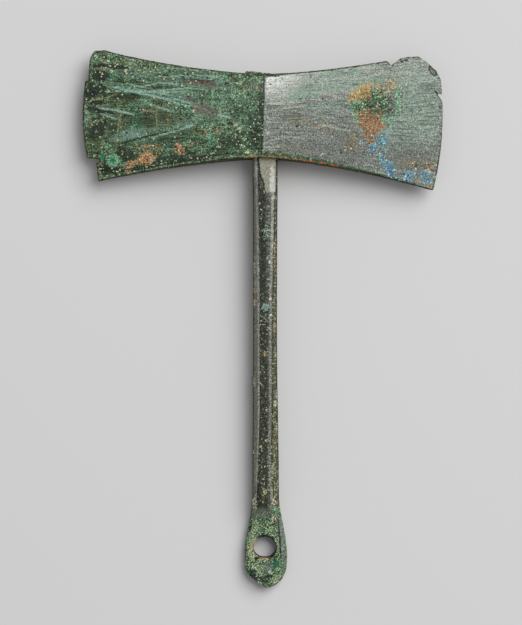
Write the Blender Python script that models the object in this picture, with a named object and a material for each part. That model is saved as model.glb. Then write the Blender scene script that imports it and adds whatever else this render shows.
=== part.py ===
"""A small bronze double axe on its own bronze handle, lying on its back.

X runs across the two blades, Y runs up the handle to the head, and Z points out
of the front ridge. The origin is under the middle of the head, on the flat that
it lies on. Sizes are in millimetres, and MM turns them into metres.
"""
import math

import bmesh
import bpy
from mathutils import Vector

MM = 0.001

# Fit between the two pieces
GAP = 0.3                   # clearance between the handle and the head, all round

# Head as a whole
WAIST_HEIGHT = 23.3         # height of the head on the shaft line
HEAD_THICKNESS = 10.4       # from the back flat to the front ridge
EDGE_THICKNESS = 0.7        # of the blunt, corroded cutting edges
EDGE_SWELL = 0.15           # how far the middle of a cutting edge stands out
REST_WIDTH = 8.0            # of the flat along the back ridge that it lies on
RIDGE_LEAN = 0.7            # how far the front ridge leans over the head's height
WAIST_ARRIS = 1.4           # rounding of the long arrises at the waist
EDGE_ARRIS = 0.25           # rounding of the long arrises at the cutting edges
ARRIS_FADE = 4              # how soon the rounding falls off, as a power of the reach left

# Left blade
LEFT_REACH = 50.5           # from the shaft line to the cutting edge
LEFT_TOP_RISE = 8.4         # of the top edge over the waist, out at the corner
LEFT_FOOT_DROP = 7.4        # of the bottom edge under the waist
LEFT_TOP_SAG = 3.0          # how far the cutting edge falls back at its top
LEFT_FOOT_SAG = 3.6         # how far it falls back at its foot
LEFT_TOP_CORNER = 3.0       # radius of the top corner
LEFT_FOOT_CORNER = 0.8      # radius of the bottom corner

# Right blade
RIGHT_REACH = 49.7
RIGHT_TOP_RISE = 7.1
RIGHT_FOOT_DROP = 9.8
RIGHT_TOP_SAG = 1.5
RIGHT_FOOT_SAG = 2.8
RIGHT_TOP_CORNER = 1.2
RIGHT_FOOT_CORNER = 0.6

# How fast the long edges flare: the rise grows with this power of the reach
TOP_FLARE = 1.58
FOOT_FLARE = 1.5

# Handle
HANDLE_SHIFT = 0.3          # of its line to the right of the head's middle
HANDLE_WIDTH = 6.9          # just below the head
HANDLE_DEPTH = 6.6
SHANK_WIDTH = 6.6           # halfway down
NECK_WIDTH = 7.4            # just above the lug
SHANK_LENGTH = 94.0         # from the mouth of the head down to the neck
LEFT_CHAMFER = 1.6          # of the octagon, across the width
RIGHT_CHAMFER = 2.0
DEPTH_CHAMFER_SHARE = 0.3   # the most of the depth that a chamfer takes
ARRIS_SOFTNESS = 0.28       # how far the eight arrises are worn back
TONGUE_LENGTH = 9.3         # hammered facet below the head
TONGUE_DEPTH = 0.6          # how far it sinks at the mouth
TONGUE_CHAMFER = 0.8        # right chamfer beside the hammered facet

# Tang and its peened end
TANG_WIDTH = 6.4            # at the top of the head
TANG_DEPTH = 6.0
SEAT_DEPTH = 0.45           # of the seat in the head under the peened end
PEEN_HEIGHT = 1.05          # over the seat's clearance, on the left
PEEN_HEIGHT_RIGHT = 0.2
PEEN_LEFT = 2.4             # spread of the peened end past the tang
PEEN_RIGHT = 0.4
PEEN_FRONT = 0.5
PEEN_SHRINK = 0.35          # rounding of its rim

# Lug at the foot of the handle
LUG_WIDTH = 11.8
LUG_THICKNESS = 3.8
LUG_SHIFT = 0.2             # of its middle line to the right of the handle's
LUG_FLARE_LENGTH = 16.7     # over which the neck widens to the lug
LUG_THINNING_LENGTH = 10.0  # over which the neck is hammered thin
LUG_FLAT_LENGTH = 2.3       # at full width, down to the start of the round end
LUG_END_LENGTH = 7.0        # of the rounded end
LUG_CHAMFER = 1.0
LUG_BREAK_WIDTH = 4.9       # of the corner broken off the round end, across
LUG_BREAK_RISE = 3.5        # and along the handle

# Hanging hole in the lug
HOLE_WIDTH = 6.5
HOLE_HEIGHT = 5.9
HOLE_SHIFT = -0.45          # to the left of the lug's middle line
HOLE_TO_END = 11.3          # from its centre to the tip of the lug
HOLE_SKEW = 0.12            # how much wider the egg is at its top right

# Damage on the blades: places are shares of the reach or of the blade's height
CRACK_PLACE = 0.71          # crack in the right blade's top edge
CRACK_WIDTH = 3.4
CRACK_DEPTH = 1.6
CRACK_SKEW = 0.3            # how far its point is to one side
CRACK_LEAN = 0.15           # sideways run of its line for each part inward
CORNER_LOSS_ACROSS = 8.4    # worn and broken top corner of the right blade
CORNER_LOSS_DOWN = 7.5
CORNER_LOSS_SIDE = 1.25     # how far past the square corner it ends on the cutting edge
CORNER_TURNS = ((0.27, 2.0), (0.49, 1.9), (0.81, 1.25))  # shares of its length, and how far each stands out
NICK_PLACE = 0.673          # nick in the right cutting edge, up from its foot
NICK_WIDTH = 1.2
NICK_DEPTH = 1.9
NICK_LEAN = 0.8
NICK_TIP = 0.1              # width of the blunt point of a nick or a crack
STEP_PLACE = 0.744          # step near the top of the left cutting edge
STEP_DEPTH = 0.75
SLOT_PLACE = 0.17           # slot near the foot of the left cutting edge
SLOT_WIDTH = 1.5
SLOT_DEPTH = 3.0
SLOT_END_WIDTH = 0.9
SLOT_LEAN = 0.05
FOOT_LOSS = 1.05            # edge lost below the slot

# Fineness of the facets
HEIGHT_STEPS = 16
REACH_STEPS = 24
REACH_CROWDING = 1.35       # how much closer the steps get towards a cutting edge
ARRIS_STEPS = 3
TIP_STEPS = 10
TIP_ANGLE = math.radians(86)
LUG_STEPS = 18
SHANK_STEPS = 14
TONGUE_STEPS = 6
HOLE_SIDES = 32
CUT_MARGIN = 2.0            # how far cutters run past what they cut

LEFT, RIGHT = -1, 1
HALF_WAIST = WAIST_HEIGHT / 2
MIDDLE = HEAD_THICKNESS / 2             # height of the cutting edges over the ground
MOUTH = -HALF_WAIST                     # where the handle enters the head
SEAT = HALF_WAIST - SEAT_DEPTH          # what the peened end sits on
NECK = MOUTH - SHANK_LENGTH             # where the handle starts to flatten into the lug
LUG_FULL = NECK - LUG_FLARE_LENGTH      # where the lug reaches its full width
LUG_ROUND = LUG_FULL - LUG_FLAT_LENGTH
LUG_TIP = LUG_ROUND - LUG_END_LENGTH


def smooth(share):
    """Ease from 0 to 1 with level ends."""
    share = min(max(share, 0.0), 1.0)
    return share * share * (3 - 2 * share)


def blend(first, second, share):
    """The value a share of the way from the first to the second."""
    return first + (second - first) * share


class Blade:
    """One side of the head, out from the shaft line."""

    def __init__(self, side, reach, rise, drop, top_sag, foot_sag, top_corner, foot_corner):
        self.side = side
        self.reach = reach
        self.rise = rise
        self.drop = drop
        self.top_sag = top_sag
        self.foot_sag = foot_sag
        self.top_corner = top_corner
        self.foot_corner = foot_corner

    def square_top(self, out):
        """Height of the top edge before its corner is rounded."""
        return HALF_WAIST + self.rise * (out / self.reach) ** TOP_FLARE

    def square_foot(self, out):
        """Height of the bottom edge before its corner is rounded."""
        return -HALF_WAIST - self.drop * (out / self.reach) ** FOOT_FLARE

    def top(self, out):
        return self.square_top(out) - rounding(self.reach - self.top_sag - out, self.top_corner)

    def foot(self, out):
        return self.square_foot(out) + rounding(self.reach - self.foot_sag - out, self.foot_corner)

    def edge(self, height):
        """How far out the cutting edge is at a height."""
        high = self.square_top(self.reach)
        low = self.square_foot(self.reach)
        if height > 0:
            out = self.reach - self.top_sag * (height / high) ** 2
        else:
            out = self.reach - self.foot_sag * (height / low) ** 2
        out -= rounding(self.square_top(out) - height, self.top_corner)
        out -= rounding(height - self.square_foot(out), self.foot_corner)
        return out


def rounding(distance, radius):
    """How far a round corner falls back, at a distance from the square corner."""
    halfway = radius * (1 - math.sqrt(0.5))
    if distance >= radius:
        return 0.0
    inward = radius - max(distance, halfway)
    return radius - math.sqrt(radius * radius - inward * inward)


LEFT_BLADE = Blade(LEFT, LEFT_REACH, LEFT_TOP_RISE, LEFT_FOOT_DROP, LEFT_TOP_SAG,
                   LEFT_FOOT_SAG, LEFT_TOP_CORNER, LEFT_FOOT_CORNER)
RIGHT_BLADE = Blade(RIGHT, RIGHT_REACH, RIGHT_TOP_RISE, RIGHT_FOOT_DROP, RIGHT_TOP_SAG,
                    RIGHT_FOOT_SAG, RIGHT_TOP_CORNER, RIGHT_FOOT_CORNER)


def make_object(name, vertices, faces):
    """A mesh object from points in millimetres."""
    mesh = bpy.data.meshes.new(name)
    mesh.from_pydata([Vector(point) * MM for point in vertices], [], faces)
    shape = bmesh.new()
    shape.from_mesh(mesh)
    bmesh.ops.recalc_face_normals(shape, faces=shape.faces)
    shape.to_mesh(mesh)
    shape.free()
    made = bpy.data.objects.new(name, mesh)
    bpy.context.scene.collection.objects.link(made)
    return made


def skin(rings):
    """Faces between rings of points, in order."""
    count = len(rings[0])
    faces = []
    for row in range(len(rings) - 1):
        for k in range(count):
            after = (k + 1) % count
            faces.append((row * count + k, row * count + after,
                          (row + 1) * count + after, (row + 1) * count + k))
    return faces


def loft(name, rings):
    """A closed solid through rings, with flat ends."""
    count = len(rings[0])
    points = [point for ring in rings for point in ring]
    faces = skin(rings)
    faces.append(tuple(range(count)))
    faces.append(tuple(range(len(points) - count, len(points))))
    return make_object(name, points, faces)


def cutter(name, outline, low=-CUT_MARGIN, high=HEAD_THICKNESS + CUT_MARGIN):
    """An upright prism over a plan outline, kept out of the finished part."""
    rings = [[(x, y, z) for x, y in outline] for z in (low, high)]
    return hide(loft(name, rings))


def hide(tool):
    """Mark an object as a tool and not a piece."""
    tool.hide_render = True
    tool.display_type = 'WIRE'
    return tool


def cut(piece, *tools):
    """Take each tool away from a piece."""
    for tool in tools:
        boolean = piece.modifiers.new(tool.name, 'BOOLEAN')
        boolean.operation = 'DIFFERENCE'
        boolean.solver = 'EXACT'
        boolean.object = tool


def finish_with(piece, name, colour, roughness):
    """Give a piece its own metal."""
    metal = bpy.data.materials.new(name)
    metal.use_nodes = True
    shader = metal.node_tree.nodes["Principled BSDF"]
    shader.inputs["Base Color"].default_value = (*colour, 1.0)
    shader.inputs["Roughness"].default_value = roughness
    shader.inputs["Metallic"].default_value = 0.6
    metal.diffuse_color = (*colour, 1.0)
    piece.data.materials.append(metal)


def head_ring(blade, share):
    """The head's section where a share of the reach lies inside it.

    It starts at the bottom front arris, climbs the front face to the top, and
    comes down the back face, so that the two halves mirror each other.
    """
    top = blade.top(share * (blade.reach - blade.top_sag))
    foot = blade.foot(share * (blade.reach - blade.foot_sag))
    front = blend(HEAD_THICKNESS, MIDDLE + EDGE_THICKNESS / 2, share)
    flat = REST_WIDTH / 2 / blade.reach
    back = blend(0.0, MIDDLE - EDGE_THICKNESS / 2, max(share - flat, 0.0) / (1 - flat))
    radius = EDGE_ARRIS + (WAIST_ARRIS - EDGE_ARRIS) * (1 - share) ** ARRIS_FADE

    half = []
    for k in range(ARRIS_STEPS + 1):
        angle = math.pi / 2 * k / ARRIS_STEPS
        half.append((foot + radius * (1 - math.cos(angle)), radius * (1 - math.sin(angle))))
    for k in range(1, HEIGHT_STEPS):
        half.append((blend(foot + radius, top - radius, k / HEIGHT_STEPS), 0.0))
    for k in range(ARRIS_STEPS + 1):
        angle = math.pi / 2 * (1 - k / ARRIS_STEPS)
        half.append((top - radius * (1 - math.cos(angle)), radius * (1 - math.sin(angle))))

    ring = []
    for height, inset in half:
        ring.append((plan_x(blade, share, height), height, front - inset))
    for height, inset in reversed(half):
        ring.append((plan_x(blade, share, height), height, back + inset))
    return ring


def plan_x(blade, share, height):
    """Where a share of the reach falls at a height, from the leaning ridge outwards."""
    ridge = RIDGE_LEAN * height / WAIST_HEIGHT
    return blend(ridge, blade.side * blade.edge(height), share)


def make_blank():
    """Both blades in one solid, from the left cutting edge to the right one."""
    rings = []
    for blade in (LEFT_BLADE, RIGHT_BLADE):
        shares = [0.0, REST_WIDTH / 2 / blade.reach]
        shares += [blend(shares[1], 1.0, 1 - (1 - k / REACH_STEPS) ** REACH_CROWDING)
                   for k in range(1, REACH_STEPS + 1)]
        side_rings = [head_ring(blade, share) for share in shares]
        if blade.side == LEFT:
            rings = side_rings[:0:-1]
        else:
            rings += side_rings

    points = [point for ring in rings for point in ring]
    faces = skin(rings)
    count = len(rings[0])
    for first, side in ((0, LEFT), (len(points) - count, RIGHT)):
        middle = len(points)
        for k in range(count // 2):
            x, y, z = points[first + k]
            points.append((x + side * EDGE_SWELL, y, MIDDLE))
        for k in range(count // 2 - 1):
            front = (first + k, first + k + 1)
            back = (first + count - 1 - k, first + count - 2 - k)
            faces.append((*front, middle + k + 1, middle + k))
            faces.append((middle + k, middle + k + 1, back[1], back[0]))
        last = count // 2 - 1
        faces.append((first, middle, first + count - 1))
        faces.append((first + last, first + last + 1, middle + last))
    return make_object("axe_head", points, faces)


def notch(name, mouth, inward, width, depth, end=NICK_TIP, skew=0.0):
    """A V or a slot cut into an edge: its mouth, its inward direction and its size."""
    inward = Vector(inward).normalized()
    along = Vector((-inward.y, inward.x))
    start = Vector(mouth) - inward * CUT_MARGIN
    tip = Vector(mouth) + inward * depth + along * skew
    half = width / 2 * (1 + CUT_MARGIN / depth)
    corners = [start - along * half, tip - along * end / 2,
               tip + along * end / 2, start + along * half]
    return cutter(name, [tuple(corner) for corner in corners])


def beyond_line(name, start, end, depth):
    """All that lies to the left of a line, looking along it, as a slab."""
    start, end = Vector(start), Vector(end)
    along = (end - start).normalized()
    out = Vector((-along.y, along.x)) * depth
    start -= along * CUT_MARGIN
    end += along * CUT_MARGIN
    corners = [start, end, end + out, start + out]
    return cutter(name, [tuple(corner) for corner in corners])


def at_height_share(blade, share):
    """A height on the cutting edge, as a share up from its foot."""
    return blend(blade.square_foot(blade.reach), blade.square_top(blade.reach), share)


def head_damage():
    """The tools that leave the chips, nicks and losses of the two blades."""
    right = RIGHT_BLADE
    crack = CRACK_PLACE * right.reach
    nick = at_height_share(right, NICK_PLACE)
    corner_x = right.edge(right.square_top(right.reach))
    corner_y = right.square_top(corner_x)
    loss_top = Vector((corner_x - CORNER_LOSS_ACROSS,
                       right.square_top(corner_x - CORNER_LOSS_ACROSS)))
    loss_foot = Vector((corner_x + CORNER_LOSS_SIDE, corner_y - CORNER_LOSS_DOWN))
    outward = Vector((loss_top.y - loss_foot.y, loss_foot.x - loss_top.x)).normalized()
    loss = [loss_top]
    loss += [loss_top.lerp(loss_foot, share) + outward * out for share, out in CORNER_TURNS]
    loss.append(loss_foot)

    left = LEFT_BLADE
    step = at_height_share(left, STEP_PLACE)
    slot = at_height_share(left, SLOT_PLACE)
    step_x = -left.edge(step) + STEP_DEPTH
    foot_x = -left.edge(slot) + FOOT_LOSS
    far_out = STEP_DEPTH + left.foot_sag + left.top_sag
    far_top = left.square_top(left.reach) + CUT_MARGIN
    far_foot = left.square_foot(left.reach) - CUT_MARGIN
    return [
        notch("cut_crack", (crack, right.top(crack)), (-CRACK_LEAN, -1), CRACK_WIDTH,
              CRACK_DEPTH, skew=CRACK_SKEW),
        *(beyond_line(f"cut_corner_{k}", loss[k], loss[k + 1], CORNER_LOSS_DOWN)
          for k in range(len(CORNER_TURNS) + 1)),
        notch("cut_nick", (right.edge(nick), nick), (-1, NICK_LEAN), NICK_WIDTH, NICK_DEPTH),
        notch("cut_slot", (-left.edge(slot), slot), (1, SLOT_LEAN), SLOT_WIDTH, SLOT_DEPTH,
              end=SLOT_END_WIDTH),
        cutter("cut_step", [(step_x - far_out, step),
                            (step_x, step),
                            (step_x + STEP_DEPTH, far_top),
                            (step_x - far_out, far_top)]),
        cutter("cut_foot", [(foot_x - far_out, far_foot),
                            (foot_x + FOOT_LOSS * 2, far_foot),
                            (foot_x + FOOT_LOSS, slot),
                            (foot_x - far_out, slot)]),
    ]


def octagon(y, left, right, back, front, left_cut, right_cut):
    """A section of the handle: eight sides with their arrises worn back."""
    deep = min(left_cut, right_cut, (front - back) * DEPTH_CHAMFER_SHARE)
    corners = [Vector(corner) for corner in (
        (right, back + deep), (right, front - deep), (right - right_cut, front),
        (left + left_cut, front), (left, front - deep), (left, back + deep),
        (left + left_cut, back), (right - right_cut, back))]
    ring = []
    for k, corner in enumerate(corners):
        for other in (corners[k - 1], corners[(k + 1) % len(corners)]):
            way = other - corner
            reach = min(ARRIS_SOFTNESS, way.length / 3)
            point = corner + way.normalized() * reach
            ring.append((point.x, y, point.y))
    return ring


def shank_axis(y):
    """Height of the handle's line: level in the head, then falling to the lug."""
    foot = HANDLE_DEPTH / 2
    if y >= MOUTH:
        return MIDDLE
    return blend(MIDDLE, foot, min((MOUTH - y) / (MOUTH - NECK), 1.0))


def tang_ring(y, grow):
    """The tang's section inside the head, grown on every side by a clearance."""
    share = (y - MOUTH) / (SEAT - MOUTH)
    width = blend(HANDLE_WIDTH, TANG_WIDTH, share) / 2 + grow
    depth = blend(HANDLE_DEPTH - TONGUE_DEPTH, TANG_DEPTH, share) / 2 + grow
    return octagon(y, HANDLE_SHIFT - width, HANDLE_SHIFT + width, MIDDLE - depth,
                   MIDDLE + depth, LEFT_CHAMFER, TONGUE_CHAMFER)


def shank_ring(y):
    """The handle's section between the mouth of the head and the lug's round end."""
    halfway = (MOUTH + NECK) / 2
    if y > halfway:
        width = blend(HANDLE_WIDTH, SHANK_WIDTH, smooth((MOUTH - y) / (MOUTH - halfway)))
    else:
        width = blend(SHANK_WIDTH, NECK_WIDTH, smooth((halfway - y) / (halfway - NECK)))
    flare = smooth((NECK - y) / LUG_FLARE_LENGTH)
    thin = smooth((NECK - y) / LUG_THINNING_LENGTH)
    width = blend(width, LUG_WIDTH, flare)
    middle = HANDLE_SHIFT + LUG_SHIFT * smooth((halfway - y) / (halfway - LUG_FULL))
    axis = shank_axis(y)
    back = axis - HANDLE_DEPTH / 2
    front = blend(axis + HANDLE_DEPTH / 2, LUG_THICKNESS, thin)
    hammered = max(1 - (MOUTH - y) / TONGUE_LENGTH, 0.0)
    front -= TONGUE_DEPTH * hammered
    right_cut = blend(RIGHT_CHAMFER, TONGUE_CHAMFER, smooth(2 * hammered))
    return octagon(y, middle - width / 2, middle + width / 2, back, front,
                   blend(LEFT_CHAMFER, LUG_CHAMFER, flare), blend(right_cut, LUG_CHAMFER, flare))


def end_ring(angle):
    """A section of the lug's rounded end, at an angle round from its start."""
    y = LUG_ROUND - LUG_END_LENGTH * math.sin(angle)
    half = LUG_WIDTH / 2 * math.cos(angle)
    middle = HANDLE_SHIFT + LUG_SHIFT
    chamfer = min(LUG_CHAMFER, half / 2)
    return octagon(y, middle - half, middle + half, 0.0, LUG_THICKNESS, chamfer, chamfer)


def peen_sides(grow):
    """Left, right, back and front of the peened end, grown by a clearance."""
    return (HANDLE_SHIFT - TANG_WIDTH / 2 - PEEN_LEFT - grow,
            HANDLE_SHIFT + TANG_WIDTH / 2 + PEEN_RIGHT + grow,
            MIDDLE - TANG_DEPTH / 2 - PEEN_FRONT - grow,
            MIDDLE + TANG_DEPTH / 2 + PEEN_FRONT + grow)


def peen_rings():
    """The end of the tang, hammered over to the left on top of the head."""
    under = SEAT + GAP
    left, right, _, _ = peen_sides(0.0)
    rings = [tang_ring(under, 0.0)]
    for height, shrink in ((0.0, PEEN_SHRINK / 3), (0.5, 0.0), (1.0, PEEN_SHRINK)):
        ring = octagon(0.0, *peen_sides(-shrink), LEFT_CHAMFER, TONGUE_CHAMFER)
        row = []
        for x, _, z in ring:
            rise = blend(PEEN_HEIGHT, PEEN_HEIGHT_RIGHT, smooth((x - left) / (right - left)))
            row.append((x, under + height * rise, z))
        rings.append(row)
    return rings


def make_handle():
    """Lug, shank, tang and peened end in one solid, from the tip upwards."""
    rings = [end_ring(TIP_ANGLE * k / TIP_STEPS) for k in range(TIP_STEPS, 0, -1)]
    for k in range(LUG_STEPS):
        rings.append(shank_ring(blend(LUG_ROUND, NECK, k / LUG_STEPS)))
    tongue_end = MOUTH - TONGUE_LENGTH
    for k in range(SHANK_STEPS):
        rings.append(shank_ring(blend(NECK, tongue_end, k / SHANK_STEPS)))
    for k in range(TONGUE_STEPS + 1):
        rings.append(shank_ring(blend(tongue_end, MOUTH - GAP, k / TONGUE_STEPS)))
    rings += [tang_ring(MOUTH + GAP, 0.0), tang_ring(0.0, 0.0)]
    rings += peen_rings()
    return loft("handle", rings)


def lug_hole():
    """The tool for the hanging hole: an egg, wider towards its top right."""
    centre_x = HANDLE_SHIFT + LUG_SHIFT + HOLE_SHIFT
    centre_y = LUG_TIP + HOLE_TO_END
    outline = []
    for k in range(HOLE_SIDES):
        angle = 2 * math.pi * k / HOLE_SIDES
        swell = 1 + HOLE_SKEW / 2 * math.cos(angle - math.pi / 4)
        outline.append((centre_x + HOLE_WIDTH / 2 * swell * math.cos(angle),
                        centre_y + HOLE_HEIGHT / 2 * swell * math.sin(angle)))
    return cutter("cut_hanging_hole", outline)


def lug_break():
    """The tool for the corner broken off the lug's round end, at its lower left."""
    middle = HANDLE_SHIFT + LUG_SHIFT
    return beyond_line("cut_lug_corner", (middle, LUG_TIP),
                       (middle - LUG_BREAK_WIDTH, LUG_TIP + LUG_BREAK_RISE),
                       LUG_BREAK_RISE + CUT_MARGIN)


def shaft_hole():
    """The tool for the hole through the head: the tang's own shape and a clearance."""
    ends = (MOUTH - CUT_MARGIN, SEAT + CUT_MARGIN)
    return hide(loft("cut_shaft_hole", [tang_ring(y, GAP) for y in ends]))


def peen_seat():
    """The tool for the shallow seat that the peened end lies in."""
    left, right, back, front = peen_sides(GAP)
    outline = [(left, SEAT), (right, SEAT), (right, SEAT + CUT_MARGIN), (left, SEAT + CUT_MARGIN)]
    return cutter("cut_seat", outline, back, front)


def build():
    for old in list(bpy.data.objects):
        bpy.data.objects.remove(old)

    head = make_blank()
    cut(head, shaft_hole(), peen_seat(), *head_damage())
    finish_with(head, "green_bronze", (0.17, 0.24, 0.19), 0.55)

    handle = make_handle()
    cut(handle, lug_hole(), lug_break())
    finish_with(handle, "dark_bronze", (0.13, 0.13, 0.10), 0.5)


build()
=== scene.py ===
# %% [markdown]
# # A small bronze double axe with its own bronze handle
#
# The real thing is an ancient cast head of two flared blades on a hammered eight sided rod, which
# ends in a flat lug with a hanging hole. Centuries in the ground gave it a patina: one blade dark
# green, the other silver grey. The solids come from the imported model. This lesson gives each of the
# two pieces a fine skin, works the corrosion into it as real relief, paints the patina as marks on
# the skin, and mixes the colours in two materials.

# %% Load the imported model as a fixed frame
import math

import bpy
import numpy as np
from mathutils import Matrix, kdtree, noise


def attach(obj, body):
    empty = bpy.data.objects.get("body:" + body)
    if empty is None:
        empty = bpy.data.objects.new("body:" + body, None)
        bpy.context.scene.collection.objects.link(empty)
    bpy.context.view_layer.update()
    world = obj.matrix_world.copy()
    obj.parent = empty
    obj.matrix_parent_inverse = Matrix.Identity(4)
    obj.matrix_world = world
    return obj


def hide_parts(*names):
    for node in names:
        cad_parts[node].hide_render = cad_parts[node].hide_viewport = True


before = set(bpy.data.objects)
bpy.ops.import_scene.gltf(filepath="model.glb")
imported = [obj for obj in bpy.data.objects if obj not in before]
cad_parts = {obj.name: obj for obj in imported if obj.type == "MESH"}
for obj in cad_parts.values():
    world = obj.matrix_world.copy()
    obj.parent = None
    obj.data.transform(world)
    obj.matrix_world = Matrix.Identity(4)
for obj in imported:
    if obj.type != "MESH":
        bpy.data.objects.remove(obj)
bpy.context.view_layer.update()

# %% [markdown]
# ## Small helpers
#
# Sizes below are in millimetres, as a maker would measure them, and MM turns them to Blender's
# metres. Colours are written as they look on a screen, so one function turns them to the linear
# values that the sockets take. One more adds a node, sets it and links it, which keeps the
# materials short enough to read.

# %% Units, colours, selection and nodes
MM = 0.001


def colour(code):
    """A screen colour such as "5C7A5C" as a linear colour with alpha."""
    shares = [int(code[place:place + 2], 16) / 255 for place in (0, 2, 4)]
    linear = [s / 12.92 if s <= 0.04045 else ((s + 0.055) / 1.055) ** 2.4 for s in shares]
    return linear + [1.0]


def select_only(piece):
    """Selects one object and makes it the active one, as a click would."""
    bpy.ops.object.select_all(action="DESELECT")
    piece.select_set(True)
    bpy.context.view_layer.objects.active = piece


def add(tree, kind, inputs=(), out=0, steps=(), **settings):
    """Adds a node, puts values or links into its sockets, and returns one of its outputs.

    A colour ramp also gets its steps, each one a place from 0 to 1 and a colour code.
    """
    made = tree.nodes.new(kind)
    for name, value in settings.items():
        setattr(made, name, value)
    for name, value in dict(inputs).items():
        if isinstance(value, bpy.types.NodeSocket):
            tree.links.new(value, made.inputs[name])
        else:
            made.inputs[name].default_value = value
    for _ in steps[2:]:
        made.color_ramp.elements.new(0.5)
    for number, (place, code) in enumerate(steps):
        made.color_ramp.elements[number].position = place
        made.color_ramp.elements[number].color = colour(code)
    return made.outputs[out]


# %% [markdown]
# ## The table, the light and the camera
#
# The axe lies on a pale grey table and is seen from straight above. The shadows are soft and fall
# to the lower left, deepest right beside the metal, so the light is one large softbox high on the
# upper right, and a dim grey room fills the shadows. The camera is a long lens, so the sides of the
# thick middle barely show.

# %% A plain pale table
TABLE_SIZE = 4000
TABLE_DROP = 0.05
bpy.ops.mesh.primitive_plane_add(size=TABLE_SIZE * MM, location=(0, 0, -TABLE_DROP * MM))
table = bpy.context.object
table.name = "table"
# Uncoated paper is matt and rough all over, so it takes soft shadows and mirrors nothing.
paper = bpy.data.materials.new("uncoated pale grey paper")
paper.use_nodes = True
paper_shader = paper.node_tree.nodes["Principled BSDF"]
paper_shader.inputs["Base Color"].default_value = colour("D3D3D3")
paper_shader.inputs["Roughness"].default_value = 0.95
paper_shader.inputs["Specular IOR Level"].default_value = 0.1
table.data.materials.append(paper)
print("table edge in mm:", TABLE_SIZE)

# %% One softbox and the room
SOFTBOX_PLACE = (1080, 960, 1800)
SOFTBOX_SIZE = 2000
SOFTBOX_WATTS = 56
ROOM_LIGHT = 0.33
bpy.ops.object.light_add(type="AREA", location=[share * MM for share in SOFTBOX_PLACE])
softbox = bpy.context.object
softbox.name = "softbox"
softbox.data.size = SOFTBOX_SIZE * MM
softbox.data.energy = SOFTBOX_WATTS
softbox.rotation_euler = softbox.location.to_track_quat("Z", "Y").to_euler()
softbox.visible_camera = False
world = bpy.data.worlds.new("dim grey room")
bpy.context.scene.world = world
world.use_nodes = True
world.node_tree.nodes["Background"].inputs["Color"].default_value = (1, 1, 1, 1)
world.node_tree.nodes["Background"].inputs["Strength"].default_value = ROOM_LIGHT
bpy.context.scene.view_settings.view_transform = "Standard"
print("softbox in mm:", SOFTBOX_PLACE, "edge:", SOFTBOX_SIZE)

# %% The camera, straight above
PHOTO_HEIGHT = 625
MM_PER_PIXEL = 0.2792
CENTRE_X, CENTRE_Y = -0.84, -54.6
CAMERA_HEIGHT = 700
SHARP_HEIGHT = 5
FILM_HEIGHT = 24
bpy.ops.object.camera_add(location=(CENTRE_X * MM, CENTRE_Y * MM, CAMERA_HEIGHT * MM), rotation=(0, 0, 0))
camera = bpy.context.object
camera.data.sensor_fit = "VERTICAL"
camera.data.sensor_height = FILM_HEIGHT
camera.data.lens = FILM_HEIGHT * (CAMERA_HEIGHT - SHARP_HEIGHT) / (PHOTO_HEIGHT * MM_PER_PIXEL)
bpy.context.scene.camera = camera
print("lens in mm:", round(camera.data.lens, 1))


# %% [markdown]
# ## A fine skin for each solid
#
# Relief needs small even faces. A maker of such a model copies the solid, lets the Remesh modifier
# cut it into little squares, and shrinks them back on to the true faces with Shrinkwrap, so that
# flats stay flat and the arrises stay in place. The voxel is as small as 200,000 triangles a piece
# allow, which is about one pixel of the picture.

# %% Copy, merge, remesh and shrink back
SAME_POINT = 0.002


def fine_skin(node, name, voxel):
    """A copy of a CAD node in small even faces, for relief."""
    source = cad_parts[node]
    select_only(source)
    bpy.ops.object.duplicate()
    piece = bpy.context.object
    piece.name = name
    piece.parent = None
    for key in list(piece.keys()):
        del piece[key]
    piece.data.materials.clear()
    bpy.ops.object.mode_set(mode="EDIT")
    bpy.ops.mesh.select_all(action="SELECT")
    bpy.ops.mesh.remove_doubles(threshold=SAME_POINT * MM)
    bpy.ops.object.mode_set(mode="OBJECT")
    bpy.ops.object.modifier_add(type="REMESH")
    cutter = piece.modifiers[-1]
    cutter.mode = "VOXEL"
    cutter.voxel_size = voxel * MM
    cutter.use_smooth_shade = True
    bpy.ops.object.modifier_apply(modifier=cutter.name)
    bpy.ops.object.modifier_add(type="SHRINKWRAP")
    wrap = piece.modifiers[-1]
    wrap.target = source
    bpy.ops.object.modifier_apply(modifier=wrap.name)
    print(name, "has", len(piece.data.polygons), "faces")
    return piece


HEAD_VOXEL = 0.3
HANDLE_VOXEL = 0.21
head = fine_skin("axe_head", "patinated_head", HEAD_VOXEL)
handle = fine_skin("handle", "patinated_handle", HANDLE_VOXEL)


# %% [markdown]
# ## Marks
#
# A patina is a map of events: a patch of crust here, a scrape there, a pit, a crack. Each event
# below is one line of code that says where it is on the piece, how large it is and how ragged its
# edge is. It gives a mask, 1 inside and 0 outside, with one value for every point of the skin. The
# mask can lift or sink the skin, and it can be painted on it as an attribute that the material
# reads. Blender's own noise makes the edges uneven, the same on each run.

# %% The skin's points, and masks on them
def ramp(start, end, value):
    """A smooth rise from 0 at start to 1 at end, or a fall where end is the smaller one."""
    share = np.clip((value - start) / (end - start), 0, 1)
    return share * share * (3 - 2 * share)


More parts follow.
